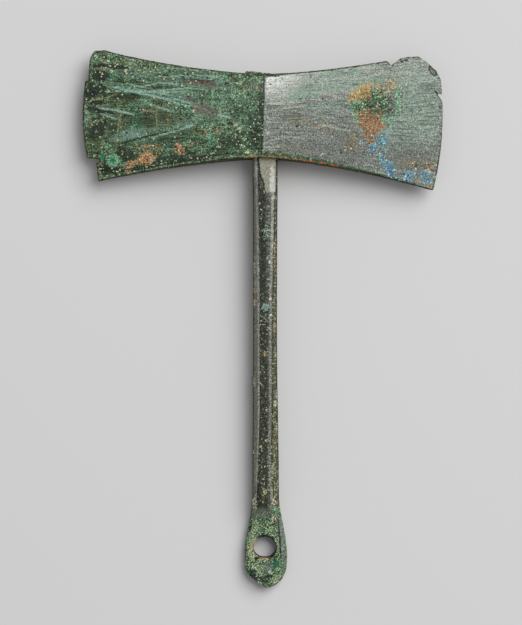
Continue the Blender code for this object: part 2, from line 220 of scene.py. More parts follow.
class Skin:
    """The points of a piece in mm, the way each one faces, and what is marked on them."""

    def __init__(self, piece):
        self.piece = piece
        self.count = len(piece.data.vertices)
        flat = np.empty(self.count * 3)
        piece.data.vertices.foreach_get("co", flat)
        self.points = flat.reshape(-1, 3) / MM
        self.x, self.y, self.z = self.points.T
        facing = np.empty(self.count * 3)
        piece.data.vertex_normals.foreach_get("vector", facing)
        self.facing = facing.reshape(-1, 3)
        self.front = ramp(0.15, 0.55, self.facing[:, 2])
        self.back = ramp(0.15, 0.55, -self.facing[:, 2])
        self.rim = 1 - np.maximum(self.front, self.back)
        self.lift = np.zeros(self.count)
        self.marks = {}
        self.uneven = self.noise(2.2, 1)
        self.crumbly = self.noise(0.8, 2)

    def noise(self, size, seed, stretch=(1, 1, 1), octaves=3):
        """Noise of about -1 to 1 in lumps of that size in mm, drawn out along an axis by stretch."""
        places = (self.points + 37.1 * seed) / (size * np.array(stretch))
        return np.array([noise.fractal(place, 1.0, 2.0, octaves) for place in places.tolist()])

    def patch(self, at, size, turn=0.0, ragged=0.3, soft=0.4):
        """A ragged oval at a place, by its half length and half width in mm, turned by degrees."""
        cos, sin = math.cos(math.radians(turn)), math.sin(math.radians(turn))
        along = ((self.x - at[0]) * cos + (self.y - at[1]) * sin) / size[0]
        across = ((self.y - at[1]) * cos - (self.x - at[0]) * sin) / size[1]
        reach = np.hypot(along, across) + ragged * (self.uneven + 0.6 * self.crumbly)
        return ramp(1 + soft, 1 - soft, reach)

    def line(self, route, width, soft=0.25, ragged=0.0):
        """A band along a route of places in mm, narrower towards both its ends."""
        gap = np.full(self.count, 1e9)
        gone = np.zeros(self.count)
        lengths = [math.dist(a, b) for a, b in zip(route, route[1:])]
        before = 0.0
        for (x0, y0), (x1, y1), length in zip(route, route[1:], lengths):
            share = ((self.x - x0) * (x1 - x0) + (self.y - y0) * (y1 - y0)) / length ** 2
            share = np.clip(share, 0, 1)
            off = np.hypot(self.x - x0 - share * (x1 - x0), self.y - y0 - share * (y1 - y0))
            nearer = off < gap
            gap = np.where(nearer, off, gap)
            gone = np.where(nearer, (before + share * length) / sum(lengths), gone)
            before += length
        half = 0.5 * width * np.minimum(1, 0.35 + 3.5 * np.minimum(gone, 1 - gone))
        return ramp(half + soft, half - soft * 0.4, gap + ragged * self.crumbly)

    def outline_gap(self, counted=True):
        """How far each point lies from the piece's outline in mm, as seen from above."""
        walls = np.flatnonzero((np.abs(self.facing[:, 2]) < 0.4) & counted)
        outline = kdtree.KDTree(len(walls))
        for place in walls:
            outline.insert((self.x[place], self.y[place], 0), place)
        outline.balance()
        return np.array([outline.find((x, y, 0))[2] for x, y in zip(self.x, self.y)])

    def mark(self, name, mask, strength=1.0):
        """Paints a mask over what is already marked under that name."""
        old = self.marks.get(name, np.zeros(self.count))
        self.marks[name] = np.maximum(old, mask * strength)

    def dab(self, name, spots, ragged=0.3, soft=0.4, side=None):
        """Marks ovals on the front or another side: each has a place, a size, a turn and a strength."""
        side = self.front if side is None else side
        for at, size, turn, strength in spots:
            self.mark(name, self.patch(at, size, turn, ragged, soft) * side, strength)

    def clear(self, name, mask):
        """Takes a mark away where the mask is."""
        self.marks[name] = self.marks[name] * (1 - mask)

    def raise_by(self, height, mask):
        """Lifts the skin by that height in mm where the mask is, or sinks it by a negative one."""
        self.lift += height * mask

    def finish(self, along):
        """Moves the points along their facing, keeps them above the table, and stores the marks."""
        moved = self.points + self.facing * self.lift[:, None]
        moved[:, 2] = np.maximum(moved[:, 2], 0)
        self.piece.data.vertices.foreach_set("co", (moved * MM).ravel())
        for name, values in self.marks.items():
            kept = self.piece.data.attributes.new(name, "FLOAT", "POINT")
            kept.data.foreach_set("value", np.clip(values, 0, 1).astype(np.float32))
        way = self.piece.data.attributes.new("along", "FLOAT_VECTOR", "POINT")
        way.data.foreach_set("vector", along.astype(np.float32).ravel())
        self.piece.data.update()
        print(self.piece.name, "lift in mm:", self.lift.min().round(2), "to", self.lift.max().round(2))


# %% [markdown]
# ## The head: which blade is which
#
# The two blades met different soil. The left one carries an even dark green crust of copper
# carbonate. The right one kept the smooth silver grey surface of tin oxide, which ends in a sharp
# line at the front ridge. The same holds on the back, so the mark "satin" is given to the whole
# right half, except for the thin sides, which are crusted green, and for a dark green seam along
# the top and bottom of its face.

# %% Satin on the right blade, in front and behind
RIDGE_MIDDLE, RIDGE_LEAN = 0.1, 0.03
TOP_SEAM_START, TOP_SLOPE = 10.25, 0.125
CORNER_CUT = 9.1
BLADE_HALF, BLADE_FLARE = 10.6, 0.0026
axe = Skin(head)
ridge_x = RIDGE_MIDDLE + RIDGE_LEAN * axe.y + 0.12 * axe.crumbly
right_half = ramp(-0.1, 0.25, axe.x - ridge_x)
faces_up = ramp(0.45, 0.8, np.abs(axe.facing[:, 2]))
axe.mark("satin", right_half * faces_up)
top_height = axe.y - TOP_SLOPE * axe.x - 0.1 * axe.crumbly
top_seam = ramp(TOP_SEAM_START, TOP_SEAM_START + 0.35, top_height) * ramp(16, 8, axe.x)
axe.clear("satin", top_seam)
rounded_corner = ramp(0.2, -0.2, axe.x - axe.y + CORNER_CUT) * ramp(9.0, 9.6, axe.y)
axe.clear("satin", rounded_corner)
on_satin = right_half * axe.front * (1 - top_seam)
left_half = (1 - right_half) * axe.front

# %% How near the outline each point lies, and how far up its blade
outside = (np.abs(axe.x) > 4.5) | (np.abs(axe.y) > 11)
edge_gap = axe.outline_gap(outside)
fan = axe.y / (BLADE_HALF + BLADE_FLARE * axe.x ** 2)
top_side = ramp(0.5, 0.9, fan)
foot_side = ramp(-0.3, -0.7, fan)
print("farthest from the outline, mm:", edge_gap.max().round(1))

# %% [markdown]
# ## The head: scrapes and wear on the left blade
#
# Long scrapes run down the green blade from its upper left. Each one is a thin bright line of pale
# carbonate that sinks the skin by a few hundredths of a millimetre, with fainter ones beside it.
# Wide dull films lie between them, where the crust was rubbed thin, and some of these hold dots of
# dark red copper oxide.

# %% Scrapes as lines
SCRAPE_DEPTH = 0.05
scrapes = [
    ([(-44.5, 7), (-36.5, 7), (-31.4, 5.8), (-24.2, 3.7), (-18.6, 2.2), (-9.8, -0.5)], 0.34),
    ([(-44.8, 9.1), (-39.1, 7.8), (-34, 6.8), (-26.8, 7.3), (-20.5, 7.9), (-16.1, 7.1)], 0.3),
    ([(-38.9, 9.3), (-34, 8.1), (-29.4, 9.3), (-24, 8.8)], 0.22),
    ([(-46.3, 2.4), (-42.7, 1.9), (-39.6, 1.3), (-36, 0.4)], 0.3),
    ([(-45.8, 0.9), (-41.2, -0.7)], 0.2),
    ([(-34.5, 4.6), (-29.9, 2.8), (-25, 1.2)], 0.2),
    ([(-31.7, -6), (-24, -4), (-19.5, -2.4)], 0.24),
    ([(-30.2, 10.9), (-22.5, 11.2), (-14.5, 10)], 0.24),
    ([(-27.5, 5.9), (-20.2, 3.3), (-12.5, 0.4), (-8.6, -1.1)], 0.24),
    ([(-20.1, 11.6), (-14, 10.8), (-11, 10.9)], 0.24),
    ([(-38.5, 7.6), (-30, 6.6), (-23, 5.2)], 0.24),
    ([(-42, 8), (-36, 7.4), (-28, 6.6), (-22, 6.9)], 0.2),
]
for route, width in scrapes:
    scrape = axe.line(route, 0.9 * width, soft=0.22, ragged=0.05) * axe.front
    axe.mark("scraped", scrape)
    axe.mark("rubbed", axe.line(route, 1.5, soft=0.6, ragged=0.3) * axe.front, 0.65)
    axe.raise_by(-SCRAPE_DEPTH, scrape)
print(len(scrapes), "scrapes, each", SCRAPE_DEPTH, "mm deep")

# %% Films as patches, and the places with red dots
films = [
    ((-37.8, -5.2), (4.8, 1.3), 12, 1),
    ((-40, 8.4), (4.5, 0.8), -14, 0.5),
    ((-28, 5), (6, 0.8), -20, 0.7),
    ((-22, 6), (4, 1), -16, 0.6),
    ((-32, -3.9), (2.4, 0.6), 15, 0.6),
    ((-19.4, 3.9), (5.2, 1.1), -20, 0.85),
    ((-16.4, 1), (4.4, 1.3), -16, 0.8),
    ((-16.6, 8.8), (5.6, 1.5), -6, 0.85),
    ((-25.5, 9.4), (4.5, 1.2), -4, 0.45),
    ((-36, 11.6), (6, 1.3), -12, 0.55),
    ((-35.5, 7.4), (6, 0.6), -4, 0.35),
    ((-44.5, 14.6), (2.6, 1.1), -10, 0.45),
    ((-47.6, 13.2), (1.2, 2.4), 0, 0.4),
    ((-48.9, -1), (0.7, 2.8), 4, 0.7),
    ((-21, -2), (4.5, 1.6), 10, 0.4),
]
red_zones = [
    ((-17.2, 8.9), (5.4, 1.3), -8, 1),
    ((-16.6, 1.6), (4.6, 1.5), -18, 1),
    ((-19.5, 4.4), (3, 0.7), -18, 1),
]
axe.dab("film", films)
axe.dab("red_dots", red_zones, ragged=0.4)
print(len(films), "films,", len(red_zones), "red zones")

# %% Black stains
black_stains = [
    ((-45.4, 11.5), (3.4, 1.5), -8, 0.95),
    ((-48, 7.2), (1.9, 2.3), 0, 1),
    ((-46, 7.6), (2.2, 1.4), 10, 0.85),
    ((-46.6, 4), (2.6, 0.7), -6, 0.8),
    ((-45.6, 1.7), (4, 0.7), -9, 0.85),
    ((-46.4, -2.6), (3, 4.2), 0, 0.65),
    ((-42.2, -2.8), (2.2, 2.4), 0, 0.45),
    ((-38.6, 5.4), (6, 0.9), -4, 0.5),
    ((-38.6, -10.6), (3.6, 2), -30, 0.6),
    ((-35, -13), (4.2, 1.2), 26, 0.55),
    ((-43.4, -14.6), (4, 0.8), -4, 1),
    ((-27, -12), (5, 1), 12, 0.6),
    ((-23.5, -10.8), (4, 1.6), 12, 0.55),
    ((-33, -0.5), (7, 3), 0, 0.4),
    ((-27, -7), (7, 2.2), 14, 0.45),
    ((-2.6, -4), (2.6, 5), 0, 0.5),
    ((-1, 2), (0.8, 7), 0, 0.55),
    ((-6.5, 1.5), (3.5, 2.4), 20, 0.35),
    ((-9, -8), (6, 2.2), 4, 0.4),
]
axe.dab("black_crust_and_shade", black_stains, ragged=0.4)
print(len(black_stains), "black stains")

# %% Grooves, and the long dark one above the lower rim
grooves = [
    ([(-47.9, 13.2), (-47.2, 14.2), (-44.8, 14.4), (-42.2, 13.9), (-37.6, 13.3)], 0.8, 0.10),
    ([(-40.9, -7.8), (-34, -5.9), (-24, -3.7)], 0.25, 0.07),
    ([(-46.8, -15), (-42.4, -15.3), (-37.6, -15.2), (-31.8, -14.3), (-24, -12.9), (-13.7, -11.7)],
     0.5, 0.14),
    ([(-20.5, 10.2), (-16, 9.6), (-13.5, 9.7)], 0.2, 0.06),
    ([(-26.5, 4.6), (-19.8, 2.6), (-14.5, 0.9)], 0.2, 0.05),
    ([(-43, 6.5), (-37, 6.3), (-32.6, 5)], 0.25, 0.05),
    ([(-49, 2.6), (-44.5, 1.6), (-41.7, 0.6)], 0.5, 0.06),
]
for route, width, depth in grooves:
    groove = axe.line(route, width, ragged=0.15) * axe.front
    axe.mark("black_crust_and_shade", groove)
    axe.raise_by(-depth, groove)
print(len(grooves), "grooves, the deepest", max(depth for route, width, depth in grooves), "mm")

# %% [markdown]
# ## The head: crusts, veins and specks
#
# Orange and ochre crusts are copper oxide and soil that grew over the surface, so they stand a
# tenth of a millimetre proud. The big pale green blister near the lower left corner is malachite
# that swelled out of one pit. Thin cream veins fill hair cracks, and cream grains are scattered
# where the crust is rough.

# %% Orange, ochre and copper red crusts
CRUST_HEIGHT = 0.11
rust_patches = [
    ((-32.4, -11.6), (2.4, 2), 20, 1),
    ((-37.2, -13.4), (2.2, 1.2), 50, 0.9),
    ((-38, -15), (1.2, 0.7), 10, 0.7),
    ((-32.7, -8.4), (4.2, 1), 8, 0.6),
    ((-35.6, -12.9), (1.4, 0.8), 20, 0.75),
    ((-29.4, -9.4), (1.4, 1), 20, 0.6),
    ((-23.8, -9.2), (1.8, 1.5), -10, 0.8),
    ((-20.6, -8.2), (1.2, 1.6), 0, 0.55),
    ((-15.9, -5), (0.9, 0.7), 0, 0.65),
    ((-12.4, -4.1), (0.9, 0.7), 0, 0.7),
    ((42, -13), (3.4, 0.5), -4, 0.6),
    ((46.6, -13.4), (1.8, 1.6), 0, 0.6),
    ((23.6, -9.2), (2.4, 0.5), -12, 0.3),
    ((46.4, -19.3), (1.2, 0.6), 30, 0.6),
]
copper_patches = [
    ((29.8, -1.2), (4.2, 2.5), -12, 1),
    ((29.6, -4.6), (1.9, 2.6), 8, 0.95),
    ((26.9, 0.4), (1.2, 1.4), 20, 0.7),
    ((15.8, -3.6), (2.2, 0.35), -12, 0.6),
    ((25, -6.8), (1.8, 2.2), 10, 0.25),
]
ochre_patches = [
    ((27.3, 6.6), (2.8, 2.2), 35, 1),
    ((25, 4.6), (1.8, 1), 10, 0.95),
    ((29.4, 8.6), (1.9, 0.9), 10, 0.7),
    ((35.4, 8.6), (1.6, 1.2), 0, 0.6),
    ((33, 7), (3.4, 1.6), 0, 0.4),
]
for name, group in [("rust", rust_patches), ("copper", copper_patches), ("ochre", ochre_patches)]:
    for at, size, turn, strength in group:
        crust = axe.patch(at, size, turn, ragged=0.45) * axe.front
        axe.mark(name, crust, strength)
        axe.raise_by(CRUST_HEIGHT * strength, crust * ramp(-0.5, 0.4, axe.crumbly))
    print(len(group), name, "patches")

# %% Blue crusts
BLUE_HEIGHT = 0.07
blue_patches = [
    ((30.4, -8.9), (2, 1.1), 55, 0.95),
    ((33, -7), (2, 1.9), 0, 0.85),
    ((30.4, -5.6), (0.9, 0.35), 0, 1),
    ((33.2, -11.8), (1.3, 1.3), -20, 0.8),
    ((34.8, -14.4), (1.6, 2.3), 15, 1),
    ((40, -16.7), (2.1, 1.5), 30, 1),
    ((45.3, -17.2), (1.6, 1.8), 0, 0.85),
    ((37.6, -16.6), (0.9, 0.9), 0, 0.5),
    ((18.3, -10.7), (0.4, 0.4), 0, 0.9),
    ((33.6, -9.4), (1.2, 1.2), 0, 0.6),
    ((27.5, -7), (1.2, 1), 0, 0.4),
]
for at, size, turn, strength in blue_patches:
    crust = axe.patch(at, size, turn, ragged=0.5) * axe.front
    axe.mark("azurite", crust, strength)
    axe.raise_by(BLUE_HEIGHT * strength, crust * ramp(-0.4, 0.5, axe.crumbly))
deep_blue = [
    ((34.9, -15.3), (1.5, 1.5), 0, 1),
    ((39.8, -16.9), (1.9, 1.4), 0, 1),
    ((30, -9.4), (1.4, 1), 0, 1),
]
axe.dab("deep_blue", deep_blue, ragged=0.5)
print(len(blue_patches), "blue patches,", len(deep_blue), "of them deep blue inside")

# %% The green speckled field with its bright rims, in the middle of the right blade
FIELD_GRAIN = 0.06
field = axe.patch((30.4, 3.2), (5.6, 4.2), 5, ragged=0.3) * axe.front
axe.mark("speckled", field)
axe.dab("speckled", [((34.6, 4.2), (3.4, 4.2), 0, 0.45)], ragged=0.4)
axe.raise_by(FIELD_GRAIN, field * axe.crumbly)
rims = [
    ([(36.4, 7.6), (37.6, 5.2), (37.6, 2.6), (36.8, 0.2), (35, -2.6)], 1),
    ([(24, 3.6), (24.6, 1.2), (26.4, -2.2)], 0.7),
    ([(32.6, -0.6), (34.4, -1.2), (35.4, -2.4)], 1.4),
    ([(24, 3.6), (26, 3.6), (28, 2.4)], 1),
    ([(30, 7.4), (32, 5.6), (33.6, 3)], 0.6),
]
for route, width in rims:
    axe.mark("ring", axe.line(route, 1.5 * width, soft=0.6, ragged=0.5) * axe.front)
    axe.mark("malachite", axe.line(route, 0.5 * width, soft=0.3, ragged=0.5) * axe.front, 0.75)
print(len(rims), "bright rims")

# %% The malachite blister, with a crater in its middle
BLISTER = (-42.2, -12.2)
BLISTER_RADIUS, BLISTER_HEIGHT = 1.9, 0.34
CRATER_SHARE, CRATER_DEPTH = 0.34, 0.22
away = np.hypot(axe.x - BLISTER[0], axe.y - BLISTER[1]) / BLISTER_RADIUS + 0.12 * axe.crumbly
blister = ramp(1.25, 0.85, away) * axe.front
axe.mark("malachite", blister, 0.85)
axe.raise_by(BLISTER_HEIGHT, np.sqrt(np.clip(1 - away ** 2, 0, 1)) * axe.front)
axe.raise_by(-CRATER_DEPTH, ramp(CRATER_SHARE, 0.1, away) * axe.front)
axe.mark("emerald", ramp(CRATER_SHARE, 0.14, away) * axe.front, 0.8)
axe.mark("rust", ramp(0.18, 0.08, np.hypot(axe.x + 42.0, axe.y + 11.9)) * axe.front, 0.6)
print("blister", 2 * BLISTER_RADIUS, "mm wide and", BLISTER_HEIGHT, "mm high")


# %% Ring pits and small holes
def ring_pit(skin, at, radius, depth):
    """A corrosion pit with a pale raised ring round it."""
    off = np.hypot(skin.x - at[0], skin.y - at[1]) + 0.1 * skin.crumbly
    ring = ramp(0.5, 0.15, np.abs(off / radius - 1)) * skin.front
    skin.raise_by(-depth, ramp(radius, 0.3 * radius, off) * skin.front)
    skin.raise_by(0.35 * depth, ring)
    skin.mark("malachite", ring, 0.8)
    skin.mark("black_crust_and_shade", ramp(0.6 * radius, 0.2 * radius, off) * skin.front, 0.8)


ring_pits = [((-44.9, -9.5), 0.55, 0.15), ((-45.3, -11.0), 0.5, 0.15), ((-46.6, -10.9), 0.5, 0.12)]
for at, radius, depth in ring_pits:
    ring_pit(axe, at, radius, depth)
axe.dab("emerald", [((-45.0, -11.1), (0.6, 0.5), 0, 1)], ragged=0.2)
HOLE_DEPTH = 0.16
holes = [
    ((1.7, 8.6), 0.35), ((9.1, -3), 0.4), ((30.6, 6.3), 0.5), ((42.3, -13.8), 0.4), ((16.2, 4.7), 0.3),
    ((39.6, 15.7), 0.5), ((21.4, -10.2), 0.3), ((-10.5, 9), 0.5), ((-7.6, 9.6), 0.4), ((-21.6, 0.4), 0.4),
    ((27.5, -3.4), 0.25), ((34.3, 1.2), 0.35), ((31.5, 3.6), 0.4), ((29.3, 2.7), 0.35), ((26.4, 3), 0.4),
]
for at, radius in holes:
    hole = axe.patch(at, (radius, radius * 0.8), ragged=0.2) * axe.front
    axe.mark("black", hole)
    axe.raise_by(-HOLE_DEPTH, hole)
print(len(ring_pits), "ring pits,", len(holes), "small holes")

# %% Cream veins
VEIN_WIDTH, VEIN_HEIGHT = 0.12, 0.03
veins = [
    [(-49.6, 3.4), (-48.1, 4.5), (-44.3, 5.1), (-40.9, 6.3)],
    [(-39.1, 1.9), (-40.4, -0.9), (-40.9, -5.3), (-41.2, -9.4)],
    [(-29.6, 2.9), (-30, 0.6), (-29.8, -3)],
    [(-34, 1.5), (-29.9, 1.5)],
    [(-49.4, 1.7), (-48.6, -0.9), (-48.1, -2.2)],
    [(-47, -1.6), (-44.6, -0.4)],
    [(-47.6, 13.5), (-45.6, 13.2), (-41.5, 12.8)],
    [(-46.5, 16.2), (-43.3, 14.9)],
    [(-8.2, 7.2), (-7.2, 6.4), (-5.6, 7.2), (-3.6, 7.4)],
    [(35.7, 13.6), (36.9, 12.1), (38, 8.6)],
]
for route in veins:
    vein = axe.line(route, VEIN_WIDTH, soft=0.3) * axe.front
    axe.mark("vein", vein)
    axe.raise_by(VEIN_HEIGHT, vein)
print(len(veins), "veins")

# %% Cream grains and green spots
GRAIN_LIFT = 0.08
cream_grains = [
    ((-43.3, 15.6), 0.45), ((-40.8, 14.6), 0.3), ((-38.5, 12.9), 0.5), ((-42.4, 12.7), 0.45),
    ((-45, 11.9), 0.35), ((-7.5, 8.9), 0.4), ((-6.6, 8.8), 0.35), ((-5.1, 5.3), 0.4),
    ((-7.9, -2.6), 0.5), ((-7.2, -3.7), 0.35), ((-4.7, -10.3), 0.5), ((-12.7, -8.5), 0.35),
    ((-19.6, 1.5), 0.35), ((-8.9, -6.7), 0.3), ((-31.6, 12.5), 0.3), ((-28, 10.3), 0.3),
    ((-33.5, 12.3), 0.3), ((-22.8, 8.6), 0.3), ((-25.2, 10.4), 0.3), ((-14, 11.9), 0.3),
    ((47.1, 3.8), 0.35), ((16.2, -10.6), 0.35), ((-20.5, 9.1), 0.3), ((-40.2, -14.9), 0.3),
    ((-45.6, -14.6), 0.3),
]
for at, radius in cream_grains:
    grain = axe.patch(at, (radius, radius * 0.75), ragged=0.25) * axe.front
    axe.mark("cream", grain)
    axe.raise_by(GRAIN_LIFT, grain)
green_spots = [
    ((46.8, -1.4), 0.35), ((47.7, -2.5), 0.45), ((8.3, -11.2), 0.5), ((10.3, -11.5), 0.4),
    ((13, -12), 0.35),
]
for at, radius in green_spots:
    axe.mark("malachite", axe.patch(at, (radius, radius), ragged=0.3) * axe.front, 0.8)
axe.dab("rust", [((-2.0, 7.6), (0.45, 0.4), 0, 1)], ragged=0.1)
print(len(cream_grains), "cream grains,", len(green_spots), "green spots")

# %% [markdown]
# ## The head: tones of the satin blade
#
# The silver grey blade isn't one grey. Its upper left corner is painted almost white as a painted
# highlight, with painted glints along a few streaks there. It is pale along the top, tinted green
# towards the edge, smoky in the lower middle, and drawn with faint streaks that fan out as the
# blade does. The streaks follow a coordinate of their own: how far up the blade a point lies, as a
# share of the blade's height there.

# %% Painted highlight in the corner, pale top, and painted glints along a few streaks
corner_reach = np.hypot((axe.x - 0.5) / 9.5, (axe.y - 10.3) / 5.5)
# The corner is painted almost white: a painted highlight where the film catches the light.
axe.mark("painted_highlight", ramp(1.35, 0.15, corner_reach + 0.1 * axe.uneven) * on_satin)
top_reach = np.hypot((axe.x - 0.5) / 34, (axe.y - 11.5 - 0.1 * axe.x) / 7.5)
axe.mark("pale", ramp(1.4, 0.3, top_reach + 0.1 * axe.uneven) * on_satin)
pale_places = [((40.0, 12.5), (7.0, 3.6), 10, 0.55), ((17.0, 9.0), (15.0, 3.6), 4, 0.6)]
axe.dab("pale", pale_places, ragged=0.2, soft=0.6)
# A few streaks near that corner carry painted glints.
glint_streaks = [
    [(1.2, 3.4), (6, 3.6), (11.2, 4.1)],
    [(4.5, 1.8), (11.2, 2.7)],
    [(0.7, 5.8), (6.1, 6)],
    [(12, 0.4), (20, -0.6)],
    [(14, -2), (24, -4.2)],
]
for route in glint_streaks:
    axe.mark("painted_highlight", axe.line(route, 0.2) * axe.front, 0.5)
print(len(glint_streaks), "bright streaks")

# %% Green tints, smoke and brown stains
tints = [
    ([(6, 6.6), (12.8, 7.9), (18.3, 8.1), (25, 9)], 1.5),
    ([(6.2, 4.4), (10.3, 5.8), (14.2, 5.9)], 1.1),
    ([(15.6, 11.4), (20, 11.6), (26.5, 12.4)], 1.8),
    ([(11, 2.6), (21.5, 2.5)], 0.8),
    ([(22, 8.3), (28, 9.6), (33, 10.4)], 1.2),
]
for route, width in tints:
    axe.mark("green_tint", axe.line(route, width, soft=0.9, ragged=0.4) * axe.front, 0.75)
axe.dab("green_tint", [((43.0, 2.5), (6.5, 9.5), 0, 0.5)], ragged=0.2, soft=0.6)
axe.dab("green_tint", [((38.5, -3.5), (6.5, 4.5), 0, 0.45)], soft=0.6)
smoke = [
    ((24, -7), (9, 4.6), -10, 0.85),
    ((40, -11.5), (9, 5), -4, 0.8),
    ((10, -3), (9, 5.5), 0, 0.35),
    ((20.5, 0.5), (4.5, 2.4), 0, 0.4),
]
axe.dab("smoke", smoke, soft=0.7)
low_middle = ramp(-4.5, -9.0, axe.y) * ramp(2, 8, axe.x) * ramp(34, 24, axe.x)
axe.mark("smoke", low_middle * axe.front, 0.75)
brown_stains = [
    ((9, -0.6), (4.2, 2), -30, 0.9),
    ((25, -6.6), (2.6, 2.8), 10, 0.8),
    ((42, -13), (5, 1.6), 0, 0.6),
    ((17, -2.4), (4, 1), -14, 0.6),
    ((7, -8.6), (4, 1.4), -4, 0.5),
    ((33, 9), (4.5, 1.6), 6, 0.5),
]
axe.dab("stained", brown_stains, ragged=0.4, soft=0.6)
print(len(tints), "tints,", len(smoke), "smoky places,", len(brown_stains), "brown stains")

# %% Crust on the sides, a dark band of crust and painted shade along the outline, and seams along the edges of the satin
axe.mark("side_crust_and_edge_shade", ramp(0.75, 0.45, np.abs(axe.facing[:, 2])))
# The dark band along the outline on the face is partly crust and partly painted shade at the edge.
edge_crust_and_shade = ramp(0.5, 0.15, edge_gap) * ramp(-0.8, 0.1, axe.crumbly)
axe.mark("side_crust_and_edge_shade", edge_crust_and_shade * (1 - 0.6 * ramp(28, 40, axe.x)))
seam_width = np.interp(axe.x, [0, 12, 26, 40], [2.0, 1.5, 0.9, 0.5])
lower_seam = ramp(1.2, 0.6, (edge_gap + 0.4 * axe.crumbly) / seam_width) * ramp(-0.2, -0.6, fan)
lower_seam = lower_seam * right_half * axe.front
axe.mark("seam", lower_seam)
axe.mark("crumbs", lower_seam * ramp(0.0, 0.5, axe.crumbly) * ramp(30, 16, axe.x), 0.8)
upper_seam = ramp(0.5, 0.2, edge_gap) * top_side * ramp(30, 20, axe.x)
axe.mark("seam", upper_seam * right_half * axe.front)
print("seam in mm wide:", seam_width.max().round(1), "to", seam_width.min().round(1))

# %% The red and golden line under the head, and the crumbly lower rim of the green blade
lower_rim = ramp(0.35, 0.75, -axe.facing[:, 1]) * ramp(2.0, 6.0, axe.x) * ramp(27.0, 20.0, axe.x)
low_on_rim = ramp(3.4, 2.2, axe.z - 0.03 * axe.x)
axe.mark("red_line", lower_rim * low_on_rim * ramp(-0.1, 0.3, axe.crumbly), 0.8)
foot_edge = ramp(0.65, 0.35, edge_gap) * foot_side * axe.front
red_part = ramp(6.5, 9, axe.x) * ramp(24, 19, axe.x) * ramp(-0.35, 0.1, axe.crumbly)
axe.mark("red_line", foot_edge * red_part)
golden_part = ramp(-7, -4, axe.x) * ramp(19, 14, axe.x) * ramp(-0.5, 0.0, axe.crumbly)
axe.mark("gold", foot_edge * golden_part)
left_foot = foot_side * ramp(-3, -12, axe.x) * axe.front
axe.mark("crumbs", ramp(1.0, 0.4, edge_gap + 0.4 * axe.crumbly) * left_foot, 0.8)
axe.mark("black_crust_and_shade", ramp(0.5, 0.1, np.abs(edge_gap - 1.6)) * left_foot, 0.7)
print("points on the red line:", int((axe.marks["red_line"] > 0.5).sum()))

# %% The rounded top corner, the flake scar, black lines in cracks, and painted shade beside the ridge
CORNER_SWELL, CORNER_WEAR, FLAKE_DEPTH = 0.22, 0.3, 0.3
axe.raise_by(CORNER_SWELL, axe.patch((-46.8, 18.3), (0.8, 1.0), ragged=0) * axe.rim)
axe.raise_by(-CORNER_WEAR, axe.patch((-47.6, 18.4), (0.5, 0.7), ragged=0) * axe.rim)
flake = axe.patch((47.2, 12.8), (1.5, 0.9), -40, ragged=0.15, soft=0.15) * axe.front
axe.raise_by(-FLAKE_DEPTH, flake)
axe.mark("smoke", flake, 0.9)
black_lines = [
    ([(46.2, 14.2), (46.1, 13), (46.8, 11.9), (47.8, 11.5), (48.5, 12)], 0.3),
    ([(46.4, 14.3), (47.6, 13.5), (48.4, 12.5)], 0.2),
    ([(47.4, 7.4), (48.2, 6.6), (48.9, 5.6), (49.4, 4.6)], 0.4),
    ([(37.6, 16.4), (38.4, 15.2), (39.3, 15.9)], 0.3),
    ([(48.7, 3.2), (49.5, 2.2)], 0.2),
    ([(48.9, -4.2), (49.6, -5)], 0.2),
]
for route, width in black_lines:
    axe.mark("black", axe.line(route, width) * axe.front)
# A dark line beside the ridge on the green blade: dark crust, and painted shade on the ridge's shaded side.
ridge_route = [(0.0, 10.8), (-0.1, 2.0), (-0.35, -4.0), (-0.55, -11.4)]
axe.mark("black_crust_and_shade", axe.line(ridge_route, 0.6, soft=0.3, ragged=0.15) * left_half)
print(len(black_lines), "black lines")

# %% How thickly grains of other minerals lie
axe.mark("grainy", left_half, 0.2)
axe.mark("grainy", left_half * ramp(7.5, 12.0, axe.y + 0.1 * axe.x + axe.uneven), 0.95)
axe.mark("grainy", left_half * ramp(-16, -6, axe.x + 2 * axe.uneven), 0.8)
axe.mark("grainy", left_half * ramp(-42, -45, axe.x + axe.uneven), 0.5)
axe.mark("grainy", left_half * ramp(2.6, 0.6, edge_gap + axe.uneven), 0.95)
axe.dab("grainy", [((-41.8, 14.6), (6.5, 2.4), -8, 1)], ragged=0.5)
upper_veil = ramp(8.0, 11.5, axe.y + 0.08 * axe.x + 1.5 * axe.uneven) * ramp(-42, -36, axe.x)
axe.mark("veil", left_half * upper_veil, 0.6)
veils = [((-9.0, 4.0), (8.0, 8.0), 0, 0.55), ((-30.0, -5.4), (7.0, 2.0), 14, 0.35)]
axe.dab("veil", veils, ragged=0.4, soft=0.6, side=left_half)
axe.dab("tan", [((-27.5, 1.0), (3.8, 2.2), 0, 0.6)], ragged=0.5, soft=0.7)
axe.dab("tan", [((-46.0, -3.4), (3.2, 4.2), 0, 0.55)], ragged=0.4, soft=0.6)
axe.mark("flecked", right_half * axe.front, 0.3)
flecks = [((12.0, -1.0), (9.0, 6.0), 0, 0.5), ((33.0, 8.0), (9.0, 5.0), 0, 0.5)]
axe.dab("flecked", flecks, ragged=0.4, soft=0.6)
near_foot = ramp(3.5, 1.0, edge_gap) * ramp(0.0, -0.5, fan)
axe.mark("flecked", right_half * near_foot * axe.front, 0.95)
print("grainy on average:", axe.marks["grainy"].mean().round(2))

# %% [markdown]
# ## The head: the back
#
# The picture doesn't show the back. It is finished in keeping and plainer: broad stains and films
# on the green side, a few ochre and blue patches on the grey one, so that the axe turned over still
# looks like one and the same find.

